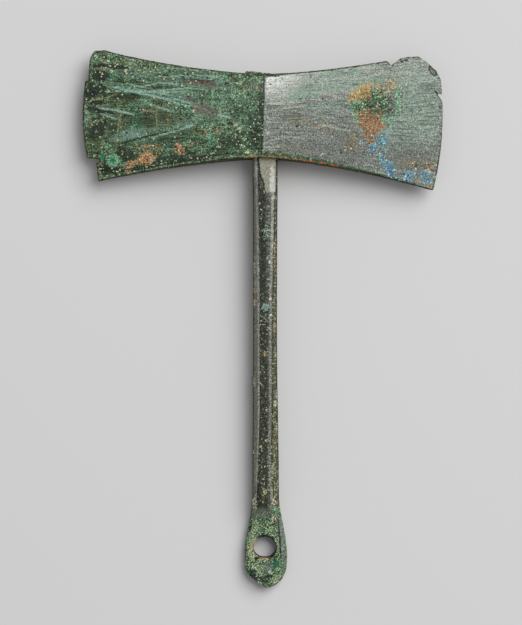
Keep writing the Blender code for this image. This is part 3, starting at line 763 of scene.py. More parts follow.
# %% Marks on the back
back_marks = [
    ("black_crust_and_shade", (-38, 4), (8, 5), 10, 0.7),
    ("black_crust_and_shade", (-20, -4), (9, 3), -10, 0.5),
    ("film", (-28, 2), (11, 1.6), 8, 0.7),
    ("film", (-14, -5), (8, 1.3), -6, 0.6),
    ("grainy", (-25, 0), (30, 18), 0, 0.5),
    ("veil", (-15, 4), (12, 7), 0, 0.5),
    ("rust", (-30, -8), (4, 2), 20, 0.9),
    ("rust", (38, 8), (4, 1.6), 10, 0.7),
    ("ochre", (22, -5), (4, 2.4), -20, 0.8),
    ("azurite", (30, -9), (2.4, 1.5), 0, 0.9),
    ("malachite", (-43, 9), (2, 1.6), 0, 0.8),
    ("green_tint", (30, 2), (12, 6), 0, 0.6),
    ("smoke", (12, 4), (8, 4), 0, 0.5),
    ("flecked", (20, 0), (20, 12), 0, 0.5),
]
for name, *spot in back_marks:
    axe.dab(name, [spot], ragged=0.45, side=axe.back)
print(len(back_marks), "marks on the back")

# %% Grain of the crust, streaks of the satin, nibbled rims
GRAIN_HEIGHT, FINE_GRAIN_HEIGHT = 0.045, 0.036
STREAK_HEIGHT = 0.010
WAVE_HEIGHT = 0.05
RIM_HEIGHT = 0.06
streaks = 0.6 * axe.noise(0.42, 5, stretch=(14, 1, 14)) + 0.4 * axe.noise(0.9, 6, stretch=(9, 1, 9))
crusted = 1 - axe.marks["satin"]
axe.raise_by(GRAIN_HEIGHT, crusted * axe.noise(1.3, 11))
axe.raise_by(FINE_GRAIN_HEIGHT, crusted * axe.noise(0.6, 12))
axe.raise_by(STREAK_HEIGHT, axe.marks["satin"] * streaks)
axe.raise_by(WAVE_HEIGHT, axe.noise(7.0, 13))
axe.raise_by(RIM_HEIGHT, axe.rim * ramp(6, 30, np.abs(axe.x)) * axe.noise(0.9, 14))
axe.finish(np.column_stack([axe.x, fan * BLADE_HALF, axe.z]))

# %% [markdown]
# ## The handle: a hammered rod
#
# The rod was hammered to eight faces, so its flats undulate and its arrises wander. The top of the
# front face is a separate pale facet, like a tongue, that ends in a small step. Below it the left
# half of the front face is black and rough while the right half is worn to a mottled grey and
# painted lighter as if lit from the right, and the lug at the foot is thick with green crust. The
# two front arrises are worn and painted with bright highlights. The arrises are followed by their
# place across the rod at a few heights.

# %% Where the arrises and the lug are
rod = Skin(handle)
LUG_START = -111.5
on_rod = ramp(LUG_START - 2, LUG_START + 2, rod.y + 1.6 * rod.uneven - 0.5 * rod.x)
left_arris = np.interp(
    rod.y, [-108, -100, -93, -82, -50, -30, -14], [-2.3, -2.05, -1.75, -1.5, -1.55, -1.8, -2.2])
right_arris = np.interp(
    rod.y, [-106, -101, -93, -80, -50, -30, -12], [2.2, 1.75, 1.5, 1.75, 1.85, 2.35, 2.5])
print("arrises in mm apart:", (right_arris - left_arris).min().round(2), "or more")

# %% Black left half, and the right half of the front face worn grey and painted lighter as if lit
upper = ramp(-52, -40, rod.y)
below_tongue = ramp(-19.5, -20.5, rod.y)
middle_line = 0.35 + 0.35 * rod.uneven + 0.5 * ramp(-46, -60, rod.y)
between = ramp(left_arris, left_arris + 0.3, rod.x) * ramp(right_arris, right_arris - 0.3, rod.x)
black_half = between * ramp(middle_line + 0.5, middle_line - 0.2, rod.x) * below_tongue
rod.mark("black_crust_and_shade", black_half * rod.front * on_rod * (0.6 + 0.4 * upper))
# The right half is worn grey and also painted lighter as if lit from the right: wear and painted light.
worn_half = ramp(middle_line - 0.3, middle_line + 0.5, rod.x)
worn_half = worn_half * ramp(right_arris + 0.2, right_arris - 0.1, rod.x) * below_tongue
rod.mark("worn", worn_half * rod.front * on_rod * (0.22 + 0.5 * upper))
print("points worn:", int((rod.marks["worn"] > 0.2).sum()))

# %% Worn arrises with painted highlights and a dark line beside each, the slanting faces, and painted shade along the outline
line_width = np.interp(rod.y, [-70, -50], [0.3, 0.45])
# Each front arris is worn and is also painted with a bright line: wear and a painted highlight.
left_line = ramp(1, 0.27, np.abs(rod.x - left_arris) / line_width) * rod.front * on_rod
rod.mark("arris_wear_and_highlight", left_line * (0.85 + 0.3 * rod.uneven))
rod.mark("black_crust_and_shade", ramp(0.3, 0.08, np.abs(rod.x - left_arris - 0.6)) * rod.front * on_rod, 0.85)
right_line = ramp(0.55, 0.1, np.abs(rod.x - right_arris)) * rod.front * on_rod * ramp(-20, -22, rod.y)
right_line = right_line * np.interp(rod.y, [-60, -46, -32], [0.45, 0.7, 1])
rod.mark("arris_wear_and_highlight", right_line * (0.75 + 0.6 * rod.noise(0.9, 21)))
not_back = 1 - rod.back
rod.mark("black_crust_and_shade", ramp(0.3, 0.08, np.abs(rod.x - right_arris - 0.6)) * on_rod * not_back, 0.7)
right_face = ramp(right_arris + 0.2, right_arris + 0.5, rod.x) * on_rod
rod.mark("olive", right_face, 0.9)
rod.mark("slant", ramp(left_arris - 0.1, left_arris - 0.3, rod.x) * on_rod, 0.9)
rod_gap = rod.outline_gap()
# A dark line along the rod's outline: black crust, and painted shade where the sides turn away.
rod.mark("black_crust_and_shade", ramp(0.32, 0.1, rod_gap) * on_rod * not_back, 0.8)
EARTH_LINE = 3.0
earth = ramp(0.4, 0.1, np.abs(rod.x - EARTH_LINE - 0.12 * rod.crumbly))
earth = earth * ramp(-0.3, 0.5, rod.noise(2.6, 27, (1, 3, 1))) * ramp(-30, -36, rod.y)
rod.mark("gold", earth * on_rod * not_back, 0.6)
print("farthest from the rod's outline, mm:", rod_gap.max().round(1))

# %% The pale tongue below the head with a painted glint, and the step at its end
STEP_DEPTH, BORDER_DEPTH = 0.1, 0.07
tongue = ramp(-21.4, -20.6, rod.y) * ramp(-1.6, -1.3, rod.x) * ramp(3.35, 3.0, rod.x)
tongue_side = np.interp(rod.y, [-20.8, -18.7, -16.8, -14.3, -11], [0.4, 0.25, -0.55, -1.1, -1.25])
taper = ramp(-0.1, 0.2, rod.x - tongue_side)
tongue = tongue * taper * rod.front
rod.mark("pale_metal", tongue, 0.95)
rod.clear("black_crust_and_shade", tongue)
rod.clear("olive", tongue)
# A painted glint on the right of the tongue: a painted highlight, not a tone of the metal.
glint_side = ramp(1.5, 2.0, rod.x - 0.12 * rod.uneven) * ramp(-13.2, -14.4, rod.y)
glint = glint_side * ramp(3.2, 2.9, rod.x + 0.06 * (rod.y + 20))
rod.mark("painted_highlight", glint * tongue)
rod.raise_by(-STEP_DEPTH, rod.line([(-0.8, -21.2), (3.2, -21.2)], 0.35) * rod.front)
rod.mark("black_crust_and_shade", rod.line([(-0.4, -21.3), (2.9, -21.3)], 0.2) * rod.front)
border = [(-1.7, -13.4), (-1.5, -16.6), (-0.4, -18.4), (0.0, -20.6)]
rod.raise_by(-BORDER_DEPTH, rod.line(border, 0.5) * rod.front)
beside_tongue = ramp(0.35, 0.15, np.abs(rod.x - tongue_side + 0.25)) * ramp(-20.8, -20.2, rod.y)
rod.mark("black_crust_and_shade", beside_tongue * rod.front)
print("points on the tongue:", int((tongue > 0.5).sum()))

# %% Hammer blows across the worn half, and a few hatched scratches filled with teal crust
BLOWS, FIRST_BLOW, BLOW_STEP, BLOW_DEPTH = 30, -22.2, 1.25, 0.06
for number in range(BLOWS):
    height = FIRST_BLOW - BLOW_STEP * number - 0.4 * math.sin(2.3 * number)
    left_end = 0.3 + 0.4 * math.sin(1.7 * number)
    blow = rod.line([(left_end, height), (2.3, height - 0.5)], 0.25) * rod.front
    rod.raise_by(-BLOW_DEPTH, blow)
    rod.mark("black_crust_and_shade", blow, 0.75)
cross_hatch = [
    [(-0.4, -30.6), (1.8, -33)], [(-0.3, -31.6), (1.4, -34.2)], [(0.7, -30.4), (1.9, -31.7)],
    [(0.2, -30), (1.9, -32.3)], [(-0.3, -32.8), (0.9, -34.6)], [(0.2, -57.2), (1.6, -56.2)],
    [(-1, -55.4), (0.8, -56.8)], [(-0.2, -82), (1.6, -81.2)],
]
FILLING_HEIGHT = 0.04
for route in cross_hatch:
    scratch = rod.line(route, 0.3) * rod.front
    rod.mark("teal", scratch, 0.55)
    rod.raise_by(FILLING_HEIGHT, scratch)
print(BLOWS, "blows,", len(cross_hatch), "filled scratches")

# %% Lumps on the rod
lumps = [
    ((-2.9, -73.4), (0.5, 0.9), 0.2, "cream"), ((-2.3, -46.6), (0.5, 1.1), 0.12, "pale_green"),
    ((0.1, -65.9), (0.7, 0.8), 0.12, "gold"), ((3.3, -77.6), (0.4, 1), 0.15, "pale_green"),
    ((0.3, -31.9), (1.3, 0.6), 0.10, "pale_green"), ((0.4, -53.2), (1.4, 1.2), 0.14, "teal"),
    ((-2.4, -48.4), (0.5, 0.8), 0.15, "gold"), ((3.1, -22.5), (0.5, 0.7), 0.12, "pale_green"),
    ((-2.8, -93.5), (0.3, 0.5), 0.1, "cream"), ((1.7, -93.9), (0.5, 0.4), 0.08, "malachite"),
    ((1.7, -100.9), (0.7, 0.9), 0.12, "pale_green"), ((-0.2, -101), (0.4, 0.5), 0.08, "pale_green"),
    ((2.9, -58.8), (0.4, 1.6), 0.1, "gold"), ((0.9, -59.2), (0.5, 0.6), 0.1, "cream"),
    ((-2.6, -41.5), (0.4, 2.4), 0.08, "pale_green"), ((-2.5, -52), (0.5, 1), 0.1, "cream"),
    ((-2.8, -74.8), (0.4, 0.6), 0.15, "pale_green"), ((3.2, -80), (0.4, 0.8), 0.12, "cream"),
    ((3.4, -87), (0.35, 1.2), 0.1, "pale_green"), ((3.2, -66), (0.35, 1.4), 0.08, "pale_green"),
    ((-2.9, -107.5), (0.8, 1.2), 0.15, "cream"), ((0.3, -104.6), (0.7, 0.8), 0.12, "cream"),
    ((2.9, -107.6), (0.8, 1), 0.14, "cream"), ((2.7, -112.6), (0.7, 1), 0.14, "cream"),
    ((-2.2, -99), (0.4, 1.4), 0.08, "pale_green"), ((2.4, -98), (0.5, 2), 0.08, "pale_green"),
]
for at, size, height, name in lumps:
    lump = rod.patch(at, size, ragged=0.25) * not_back
    rod.mark(name, lump * np.maximum(rod.front, ramp(0.0, 0.5, rod.crumbly)), 0.75)
    rod.raise_by(height, lump)
print(len(lumps), "lumps, up to", max(height for at, size, height, name in lumps), "mm high")

# %% Specks on the rod
# The bright specks by the right arris are painted highlights.
specks = [
    ((0.6, -90.2), 0.4, "cream"), ((-0.9, -92), 0.4, "cream"), ((-0.6, -93), 0.25, "malachite"),
    ((0.6, -81.6), 0.25, "cream"), ((-1.3, -24.3), 0.35, "cream"), ((-0.7, -26), 0.3, "cream"),
    ((0.2, -97.5), 0.25, "cream"), ((-0.8, -28.6), 0.25, "pale_green"), ((1.7, -40.7), 0.4, "painted_highlight"),
    ((1.8, -50.8), 0.4, "painted_highlight"), ((1.9, -55.3), 0.4, "painted_highlight"), ((0.8, -14.5), 0.35, "rust"),
    ((2.9, -14.2), 0.4, "rust"), ((-0.3, -12.9), 0.25, "rust"), ((1.9, -12.8), 0.25, "rust"),
    ((2.6, -72.5), 0.3, "rust"),
]
for at, radius, name in specks:
    rod.mark(name, rod.patch(at, (radius, radius), ragged=0.15) * rod.front)
rod.mark("black_crust_and_shade", rod.line([(-1.2, -53.8), (-0.4, -54.8)], 0.4) * rod.front)
print(len(specks), "specks")

# %% The lug's green crust, the golden rim of its hole, and its wall painted black as shade
HOLE_AT = (0.05, -120.35)
HOLE_REACH, COLLAR_REACH, COLLAR_HEIGHT = 3.5, 4.1, 0.12
on_lug = 1 - on_rod
rod.mark("green_crust", on_lug)
hole_off = np.hypot(rod.x - HOLE_AT[0], rod.y - HOLE_AT[1])
hole_side = np.degrees(np.arctan2(rod.y - HOLE_AT[1], rod.x - HOLE_AT[0]))
# The hole's wall is painted black, as painted shade inside the hole, except for its golden rim.
inner_wall = ramp(HOLE_REACH + 0.25, HOLE_REACH, hole_off) * not_back
golden = inner_wall * np.clip(ramp(110, 135, hole_side) + ramp(-45, -80, hole_side), 0, 1)
rod.mark("black", inner_wall * (1 - golden * rod.front))
rod.mark("gold", golden * rod.front, 0.9)
collar = ramp(0.9, 0.4, np.abs(hole_off - COLLAR_REACH)) * rod.front * on_lug
rod.mark("cream", collar * ramp(0.0, 0.5, rod.crumbly), 0.6)
rod.raise_by(COLLAR_HEIGHT, collar * (0.5 + 0.5 * rod.crumbly))
print("points on the hole's wall:", int((inner_wall > 0.5).sum()))

# %% Patches and cracks on the lug
# The bright patch at the foot of the lug is a painted highlight.
lug_marks = [
    ("emerald", (3.4, -125), (0.6, 1), -20, 1), ("cream", (3.9, -125.9), (0.5, 0.35), 20, 1),
    ("black", (3.2, -123.4), (0.5, 1.3), -10, 0.9), ("cream", (3.3, -130), (0.9, 0.35), 25, 0.9),
    ("painted_highlight", (3.3, -130.1), (0.8, 0.4), 30, 0.8), ("rust", (1.4, -129.7), (0.9, 0.3), 5, 0.6),
    ("malachite", (2.9, -109.4), (0.6, 0.7), 0, 0.8), ("black", (2.7, -113.2), (0.5, 0.9), 0, 0.9),
    ("pale_green", (4.6, -120.3), (1.1, 0.4), -30, 0.8), ("malachite", (0.4, -113.4), (0.4, 0.3), 0, 0.8),
    ("pale_green", (-4.4, -117.5), (0.8, 2.6), 0, 0.6), ("pale_green", (-4.3, -124.5), (0.9, 2.2), 0, 0.6),
    ("pale_green", (-2, -124.8), (2, 1), -20, 0.5), ("black", (-3.2, -127), (0.8, 0.7), 0, 0.7),
    ("pale_green", (0, -117), (2.6, 0.6), 5, 0.6), ("smooth_grey", (0, -110.6), (2.4, 1.6), 0, 0.9),
    ("cream", (-2.9, -108.8), (0.7, 0.9), 0, 0.6), ("pale_green", (2.2, -103.5), (0.5, 2.2), 0, 0.6),
    ("teal", (1.6, -127.2), (0.5, 1.8), -20, 0.5), ("black_crust_and_shade", (-1, -106.2), (1.2, 1.6), 0, 0.7),
    ("smooth_grey", (4.4, -114.5), (0.7, 4.6), 14, 0.9), ("black_crust_and_shade", (-1.6, -103.6), (1, 1.6), 0, 0.8),
    ("smooth_grey", (5.4, -121), (0.7, 6), 0, 1), ("black", (4.5, -119.5), (0.25, 6.5), 4, 0.8),
    ("black", (-1.2, -129), (2.6, 0.7), -24, 0.7), ("smooth_grey", (0.8, -126.2), (1.2, 1.8), -20, 0.7),
    ("pale_green", (-3.4, -120), (1.3, 5), 0, 0.8), ("pale_green", (-2.6, -114), (1.4, 1.8), -20, 0.8),
    ("pale_green", (-1.5, -126.4), (2.6, 1.6), -20, 0.7), ("cream", (-4.2, -121), (0.4, 2.4), 0, 0.7),
    ("cream", (-3.2, -125.4), (0.5, 1.2), 20, 0.8), ("cream", (-2.8, -116.2), (1, 0.4), 50, 0.7),
    ("black", (-3.9, -114.9), (0.4, 1.2), -20, 0.8), ("black", (2.6, -118.4), (0.5, 0.9), 40, 0.8),
    ("black", (-1.8, -123.2), (0.9, 0.4), 20, 0.8), ("black", (0.8, -128.4), (1.6, 0.4), 10, 0.8),
]
for name, *spot in lug_marks:
    rod.dab(name, [spot], ragged=0.4)
lug_pits = [((2.7, -113.2), (0.5, 0.9), 0, 0.12), ((3.3, -124.4), (0.6, 1.4), -15, 0.1)]
for at, size, turn, depth in lug_pits:
    rod.raise_by(-depth, rod.patch(at, size, turn, ragged=0.2) * rod.front)
print(len(lug_marks), "marks and", len(lug_pits), "pits on the lug")

# %% The peened top of the tang, crusted like the head, and the grains' thickness
above = ramp(8.0, 10.0, rod.y)
rod.mark("green_crust", above)
rod.mark("cream", above * ramp(0.2, 0.6, rod.crumbly), 0.5)
rod.mark("rust", above * ramp(0.3, 0.7, rod.noise(0.7, 31)), 0.6)
rod.mark("grainy", np.maximum(on_lug, above), 0.95)
rod.clear("grainy", 0.8 * np.minimum(rod.marks["smooth_grey"], 1))
rod.mark("earthy", on_rod * between * ramp(-40, -52, rod.y) * rod.front, 0.8)
rod.mark("earthy", on_rod * between * rod.front, 0.4)
rod.mark("earthy", right_face * not_back, 0.8)
rod.mark("earthy", on_rod * rod.back, 0.4)
print("earthy on average:", rod.marks["earthy"].mean().round(2))

# %% Hammered flats, rough black crust, lug grain
HAMMER_HEIGHT, ROD_GRAIN = 0.05, 0.025
DARK_MARK_HEIGHT = 0.05
LUG_HEIGHT, LUG_GRAIN = 0.10, 0.06
rod.raise_by(HAMMER_HEIGHT, on_rod * rod.noise(2.6, 22, stretch=(1, 1.6, 1)))
rod.raise_by(ROD_GRAIN, on_rod * rod.noise(0.9, 24))
rod.raise_by(DARK_MARK_HEIGHT, rod.marks["black_crust_and_shade"] * rod.noise(0.5, 23))
rod.raise_by(LUG_HEIGHT, on_lug * rod.noise(0.9, 25) * (1 - 0.5 * rod.back))
rod.raise_by(LUG_GRAIN, on_lug * rod.noise(0.45, 26))
rod.finish(np.column_stack([rod.y, rod.x, rod.z]))

# %% [markdown]
# ## The patina materials
#
# Both materials are built the same way. A ground colour comes first, mottled by noise in the sizes
# that the real crust has. Then each painted mark is laid over it like a glaze: it is missing where
# a noise is low, which breaks up its edge, and it brings its own colours and roughness. Separate
# mineral grains lie among these coats, at most one in each cell of a Voronoi pattern. Corrosion is
# mineral, so nothing is metallic but the worn spots and the tin rich film.


# %% One coat over another
class Patina:
    """A material in the making: its noises, its colour and roughness so far, and what is laid over them."""

    def __init__(self, name):
        self.material = bpy.data.materials.new(name)
        self.material.use_nodes = True
        self.tree = self.material.node_tree
        self.shader = self.tree.nodes["Principled BSDF"]
        place = add(self.tree, "ShaderNodeTexCoord", out=3)
        self.in_mm = add(self.tree, "ShaderNodeMapping", {"Vector": place, "Scale": (1 / MM,) * 3})
        along = add(self.tree, "ShaderNodeAttribute", out=1, attribute_name="along")
        # each noise: its name, its coordinates, the size of its lumps in mm, detail, stretch and turn
        lumps = [
            ("pixel", self.in_mm, 0.26, 1, 1, 0),
            ("fine", self.in_mm, 0.42, 2, 1, 0),
            ("grain", self.in_mm, 1.1, 3, 1, 0),
            ("mottle", self.in_mm, 3.4, 3, 1, 0),
            ("cloud", self.in_mm, 11, 2, 1, 0),
            ("streak", along, 0.34, 2, 18, 0),
            ("scratch", self.in_mm, 0.30, 1, 26, -13),
        ]
        self.noise = {}
        for title, way, size, detail, stretch, turn in lumps:
            spot = add(self.tree, "ShaderNodeMapping", {
                "Vector": way, "Rotation": (0, 0, math.radians(turn)), "Scale": (stretch, 1, stretch),
            }, vector_type="TEXTURE")
            self.noise[title] = add(self.tree, "ShaderNodeTexNoise", {
                "Vector": spot, "Scale": 1 / size, "Detail": detail, "Roughness": 0.7})
        # "mixed" is the mean of the two finest, and "drawn" is that with a share of the streaks
        both = add(self.tree, "ShaderNodeMath", {
            0: self.noise["pixel"], 1: self.noise["fine"]}, operation="ADD")
        self.noise["mixed"] = add(self.tree, "ShaderNodeMath", {0: both, 1: 0.5}, operation="MULTIPLY")
        part = add(self.tree, "ShaderNodeMath", {
            0: self.noise["streak"], 1: 0.35, 2: -0.1}, operation="MULTIPLY_ADD")
        self.noise["drawn"] = add(self.tree, "ShaderNodeMath", {
            0: self.noise["mixed"], 1: 0.85, 2: part}, operation="MULTIPLY_ADD")
        self.colour = None
        self.rough = None

    def coat(self, codes, by="mixed", start=0.38, end=0.62):
        """One colour, or several from dark to light along a noise."""
        if len(codes) == 1:
            return colour(codes[0])
        last = len(codes) - 1
        steps = [(start + (end - start) * number / last, code) for number, code in enumerate(codes)]
        return add(self.tree, "ShaderNodeValToRGB", {0: self.noise[by]}, steps=steps)

    def lay(self, cover, coat, roughness=None):
        """Lays a coat over what is there, as far as the cover says."""
        self.colour = add(self.tree, "ShaderNodeMix", {
            0: cover, 6: self.colour, 7: coat}, out=2, data_type="RGBA")
        if roughness is not None:
            self.rough = add(self.tree, "ShaderNodeMix", {0: cover, 2: self.rough, 3: roughness})

    def ground(self, codes, start, end, rough, smooth):
        """The lowest coat, with a roughness that a noise takes from one value to the other."""
        self.colour = self.coat(codes, start=start, end=end)
        self.rough = add(self.tree, "ShaderNodeMapRange", {
            "Value": self.noise["grain"], "From Min": 0.3, "From Max": 0.7, "To Min": smooth,
            "To Max": rough})

    def drift(self, by, start, end, most, codes, mottle="mixed"):
        """A coat all over the ground that comes in as a noise passes from start to end."""
        cover = add(self.tree, "ShaderNodeMapRange", {
            "Value": self.noise[by], "From Min": start, "From Max": end, "To Max": most})
        self.lay(cover, self.coat(codes, mottle))

    def wash(self, mark, codes, by="grain", strength=1.0, roughness=None, least=0.5):
        """A thin coat as strong as the mark, and uneven by a noise down to the least share of it."""
        painted = add(self.tree, "ShaderNodeAttribute", out=2, attribute_name=mark)
        uneven = add(self.tree, "ShaderNodeMapRange", {
            "Value": self.noise[by], "From Min": 0.38, "From Max": 0.60, "To Min": least * strength,
            "To Max": strength})
        cover = add(self.tree, "ShaderNodeMath", {0: painted, 1: uneven}, operation="MULTIPLY")
        self.lay(cover, self.coat(codes), roughness)

    def glaze(self, mark, codes, bare=0.3, by="fine", mottle="mixed", roughness=0.7, strength=1.0,
              edge=0.035):
        """A coat of mottled colours on the marked places, missing where a noise is lower than bare."""
        painted = add(self.tree, "ShaderNodeAttribute", out=2, attribute_name=mark)
        level = add(self.tree, "ShaderNodeMath", {
            0: painted, 1: 0.35, 2: self.noise[by]}, operation="MULTIPLY_ADD")
        cover = add(self.tree, "ShaderNodeMapRange", {
            "Value": level, "From Min": bare + 0.35 - edge, "From Max": bare + 0.35 + edge,
            "To Max": strength}, interpolation_type="SMOOTHSTEP")
        inside = add(self.tree, "ShaderNodeMapRange", {"Value": painted, "From Max": 0.12})
        cover = add(self.tree, "ShaderNodeMath", {0: cover, 1: inside}, operation="MULTIPLY")
        self.lay(cover, self.coat(codes, mottle), roughness)
        return cover

    def grains(self, mark, codes, size, share, strength=0.9):
        """Separate mineral grains: at full mark, that share of the cells of that size in mm holds one."""
        painted = add(self.tree, "ShaderNodeAttribute", out=2, attribute_name=mark)
        middle_gap = add(self.tree, "ShaderNodeTexVoronoi", {"Vector": self.in_mm, "Scale": 1 / size})
        chances = add(self.tree, "ShaderNodeSeparateColor", {"Color": middle_gap.node.outputs["Color"]})
        limit = add(self.tree, "ShaderNodeMath", {0: painted, 1: share}, operation="MULTIPLY")
        there = add(self.tree, "ShaderNodeMath", {0: chances, 1: limit}, operation="LESS_THAN")
        body = add(self.tree, "ShaderNodeMapRange", {
            "Value": middle_gap, "From Min": 0.62, "From Max": 0.38, "To Max": strength})
        cover = add(self.tree, "ShaderNodeMath", {0: there, 1: body}, operation="MULTIPLY")
        steps = [(number / len(codes), code) for number, code in enumerate(codes)]
        stone = add(self.tree, "ShaderNodeValToRGB", {0: chances.node.outputs["Green"]}, steps=steps)
        stone.node.color_ramp.interpolation = "CONSTANT"
        self.lay(cover, stone)

    def seal(self, metallic, bumps):
        """Adds the bumps, each by height value, depth in mm and strength, and links the shader."""
        sockets = {}
        for height, depth, strength in bumps:
            sockets.update({"Strength": strength, "Distance": depth * MM, "Height": height})
            sockets["Normal"] = add(self.tree, "ShaderNodeBump", sockets)
        self.shader.inputs["Specular IOR Level"].default_value = 0.3
        self.tree.links.new(self.colour, self.shader.inputs["Base Color"])
        self.tree.links.new(self.rough, self.shader.inputs["Roughness"])
        self.tree.links.new(metallic, self.shader.inputs["Metallic"])
        self.tree.links.new(sockets["Normal"], self.shader.inputs["Normal"])
        print(self.material.name, "has", len(self.tree.nodes), "nodes")
        return self.material


# %% [markdown]
# ## Head: carbonate crust and tin oxide film
#
# The crust is malachite and other copper carbonates over black copper oxide: matt, grainy, green in
# grains of half a millimetre to three. The satin film is tin oxide left when copper leached out of
# the cast surface: dense, smooth, with a soft sheen, so it is less rough and slightly metallic.

# %% The head's ground and its green crust
bronze = Patina("cast tin bronze, green carbonate crust and grey tin oxide film")
ground_greens = ["0A120A", "20331C", "354C31", "4B6545", "688662", "92AE89"]
bronze.ground(ground_greens, 0.41, 0.59, rough=0.8, smooth=0.55)
bronze.drift("mottle", 0.50, 0.40, 0.6, ["1A2A18"])
bronze.drift("mottle", 0.50, 0.60, 0.75, ["10301F", "2F6446", "64997A", "9CC4A6"])
bronze.drift("cloud", 0.50, 0.62, 0.5, ["202A18", "4C5736", "7B8256"], mottle="fine")
bronze.drift("streak", 0.45, 0.36, 0.6, ["141D10"])
bronze.drift("streak", 0.56, 0.66, 0.5, ["7C9C80"])
bronze.wash("veil", ["3C5541", "64836B", "91AF95", "B4C7AE"], strength=0.8, least=0.2)
bronze.wash("tan", ["363A28", "5C5C42", "7E7C5A"], by="fine", least=0.4)
bronze.wash("film", ["4A6357", "6D8B7B", "93B1A0"], by="scratch", roughness=0.5, strength=0.95, least=0.45)
bronze.glaze("rubbed", ["4E6E5C", "6F917E", "95B4A2"], 0.50, by="scratch", roughness=0.5, strength=0.85)
# This black coat is black crust, and also the painted shade beside the ridge.
bronze.glaze("black_crust_and_shade", ["0B0E09", "171C15", "2E3327"], 0.33, roughness=0.72, strength=0.92, edge=0.06)
bronze.glaze("scraped", ["658878", "88AA98", "AECABA"], 0.30, by="scratch", roughness=0.5, edge=0.08,
             strength=0.85)
bronze.glaze("red_dots", ["3A1514", "773A33"], 0.50, by="pixel", strength=0.9, edge=0.02)
bronze.grains("grainy", ["080C07", "0B110A", "17412B", "0A0F09", "8FA68A", "1E5239"], 0.40, 0.42)
bronze.grains("grainy", ["0A100A", "10190F", "0C1A12"], 0.75, 0.14, 0.8)
bronze.grains("grainy", ["D2CCA6", "A9A66C", "B9C9AC", "E3DEC4", "8C9A58", "9FC4A8"], 0.42, 0.15)

# %% The grey satin film and what lies in it
satin_greys = ["343A34", "5A615A", "737A72", "8C938A", "B6BCB2"]
satin = bronze.glaze("satin", satin_greys, 0.02, mottle="drawn", roughness=0.46)
bronze.wash("pale", ["7C857B", "9FA79D", "B9BFB5"], strength=0.8, roughness=0.46, least=0.6)
bronze.wash("smoke", ["2F302D", "50504C", "6E6E69"], by="streak", strength=0.85, roughness=0.5, least=0.35)
bronze.wash("stained", ["4A4634", "6E6A4E", "908C6A"], by="streak", strength=0.7, roughness=0.5, least=0.2)
bronze.wash("green_tint", ["567868", "73957F", "90AF9B"], by="streak", strength=0.9, roughness=0.5,
            least=0.3)
# A painted highlight: the near white corner of the film and the glints along its streaks.
bronze.wash("painted_highlight", ["A6AAA2", "CBCEC7", "E6E8E2"], roughness=0.42, least=0.8)
streaked = add(bronze.tree, "ShaderNodeMapRange", {
    "Value": bronze.noise["streak"], "From Min": 0.44, "From Max": 0.35, "To Max": 0.5})
streaked = add(bronze.tree, "ShaderNodeMath", {0: streaked, 1: satin}, operation="MULTIPLY")
bronze.lay(streaked, colour("484D47"))
bronze.grains("flecked", ["1F241E", "343A33", "4C5A44", "A5AF8E", "5E7A62", "3B3A2C"], 0.36, 0.30, 0.8)
bronze.grains("flecked", ["2C332B", "33402F", "3A3A30"], 0.62, 0.08, 0.7)
bronze.grains("flecked", ["C5CDB4", "B9BE98", "9DA880", "8FB39A"], 0.44, 0.06, 0.8)

# %% Crusts and minerals that lie on both blades
bronze.glaze("black", ["0A0C09", "181B16", "2C302A"], 0.36, roughness=0.7, strength=0.92)
bronze.glaze("seam", ["0E160D", "243622", "4A6346", "7C9470"], 0.36)
bronze.glaze("speckled", ["08130C", "1F3D2A", "55705A", "93A083"], 0.34)
bronze.glaze("ochre", ["8A7444", "AD9362", "CDB888"], 0.36, roughness=0.85, strength=0.95)
bronze.glaze("copper", ["5A4230", "8E6C4C", "BC9C78"], 0.34, roughness=0.8, strength=0.95)
bronze.glaze("rust", ["70502F", "AB7F56", "D2AC84"], 0.43, roughness=0.85, strength=0.95)
bronze.grains("rust", ["161A12", "CC6A32", "E4CCA2", "20281C", "C07C44"], 0.44, 0.42)
bronze.grains("copper", ["3C2A1A", "D3AE82", "C07C46", "4A3420", "9AA080"], 0.40, 0.36)
bronze.grains("ochre", ["5F5A38", "E2CC94", "D09A54", "7C8A5C", "C9B478"], 0.42, 0.36)
bronze.glaze("azurite", ["1C4F6C", "3A7790", "6A9CA6", "9DBDB9"], 0.46, roughness=0.8, strength=0.9)
bronze.grains("azurite", ["2C7CB0", "62B0C6", "1D5A90", "D0DCCB", "3F4744", "58A3BE", "88C8CF"], 0.46, 0.6)
bronze.grains("deep_blue", ["0E4478", "1F6BAA", "0A2F58", "3F97CF", "CFE0D6", "175C9C"], 0.46, 0.7)
bronze.grains("speckled", ["050D08", "0D2C1A", "15744A", "CFC4A0", "8A5A38", "0A1C10", "07130C"], 0.38, 0.7)
bronze.grains("ring", ["14704A", "2FA06C", "0D3A24", "CFC9A6", "1E8A5C", "7FC29C"], 0.40, 0.75)
bronze.glaze("malachite", ["35704C", "689F7A", "9FC8A4"], 0.40, roughness=0.7, strength=0.9)
bronze.glaze("emerald", ["0A5A40", "1F8A64"], 0.2, roughness=0.5)
bronze.glaze("crumbs", ["0A100A", "2A3E28", "627E5C", "B0B490"], 0.36)
bronze.glaze("vein", ["5A5D40", "8A8862", "ACA680"], 0.33, by="pixel", roughness=0.85, edge=0.06,
             strength=0.85)
bronze.glaze("cream", ["8E8760", "C2B990", "E0D9BC"], 0.34, roughness=0.85)
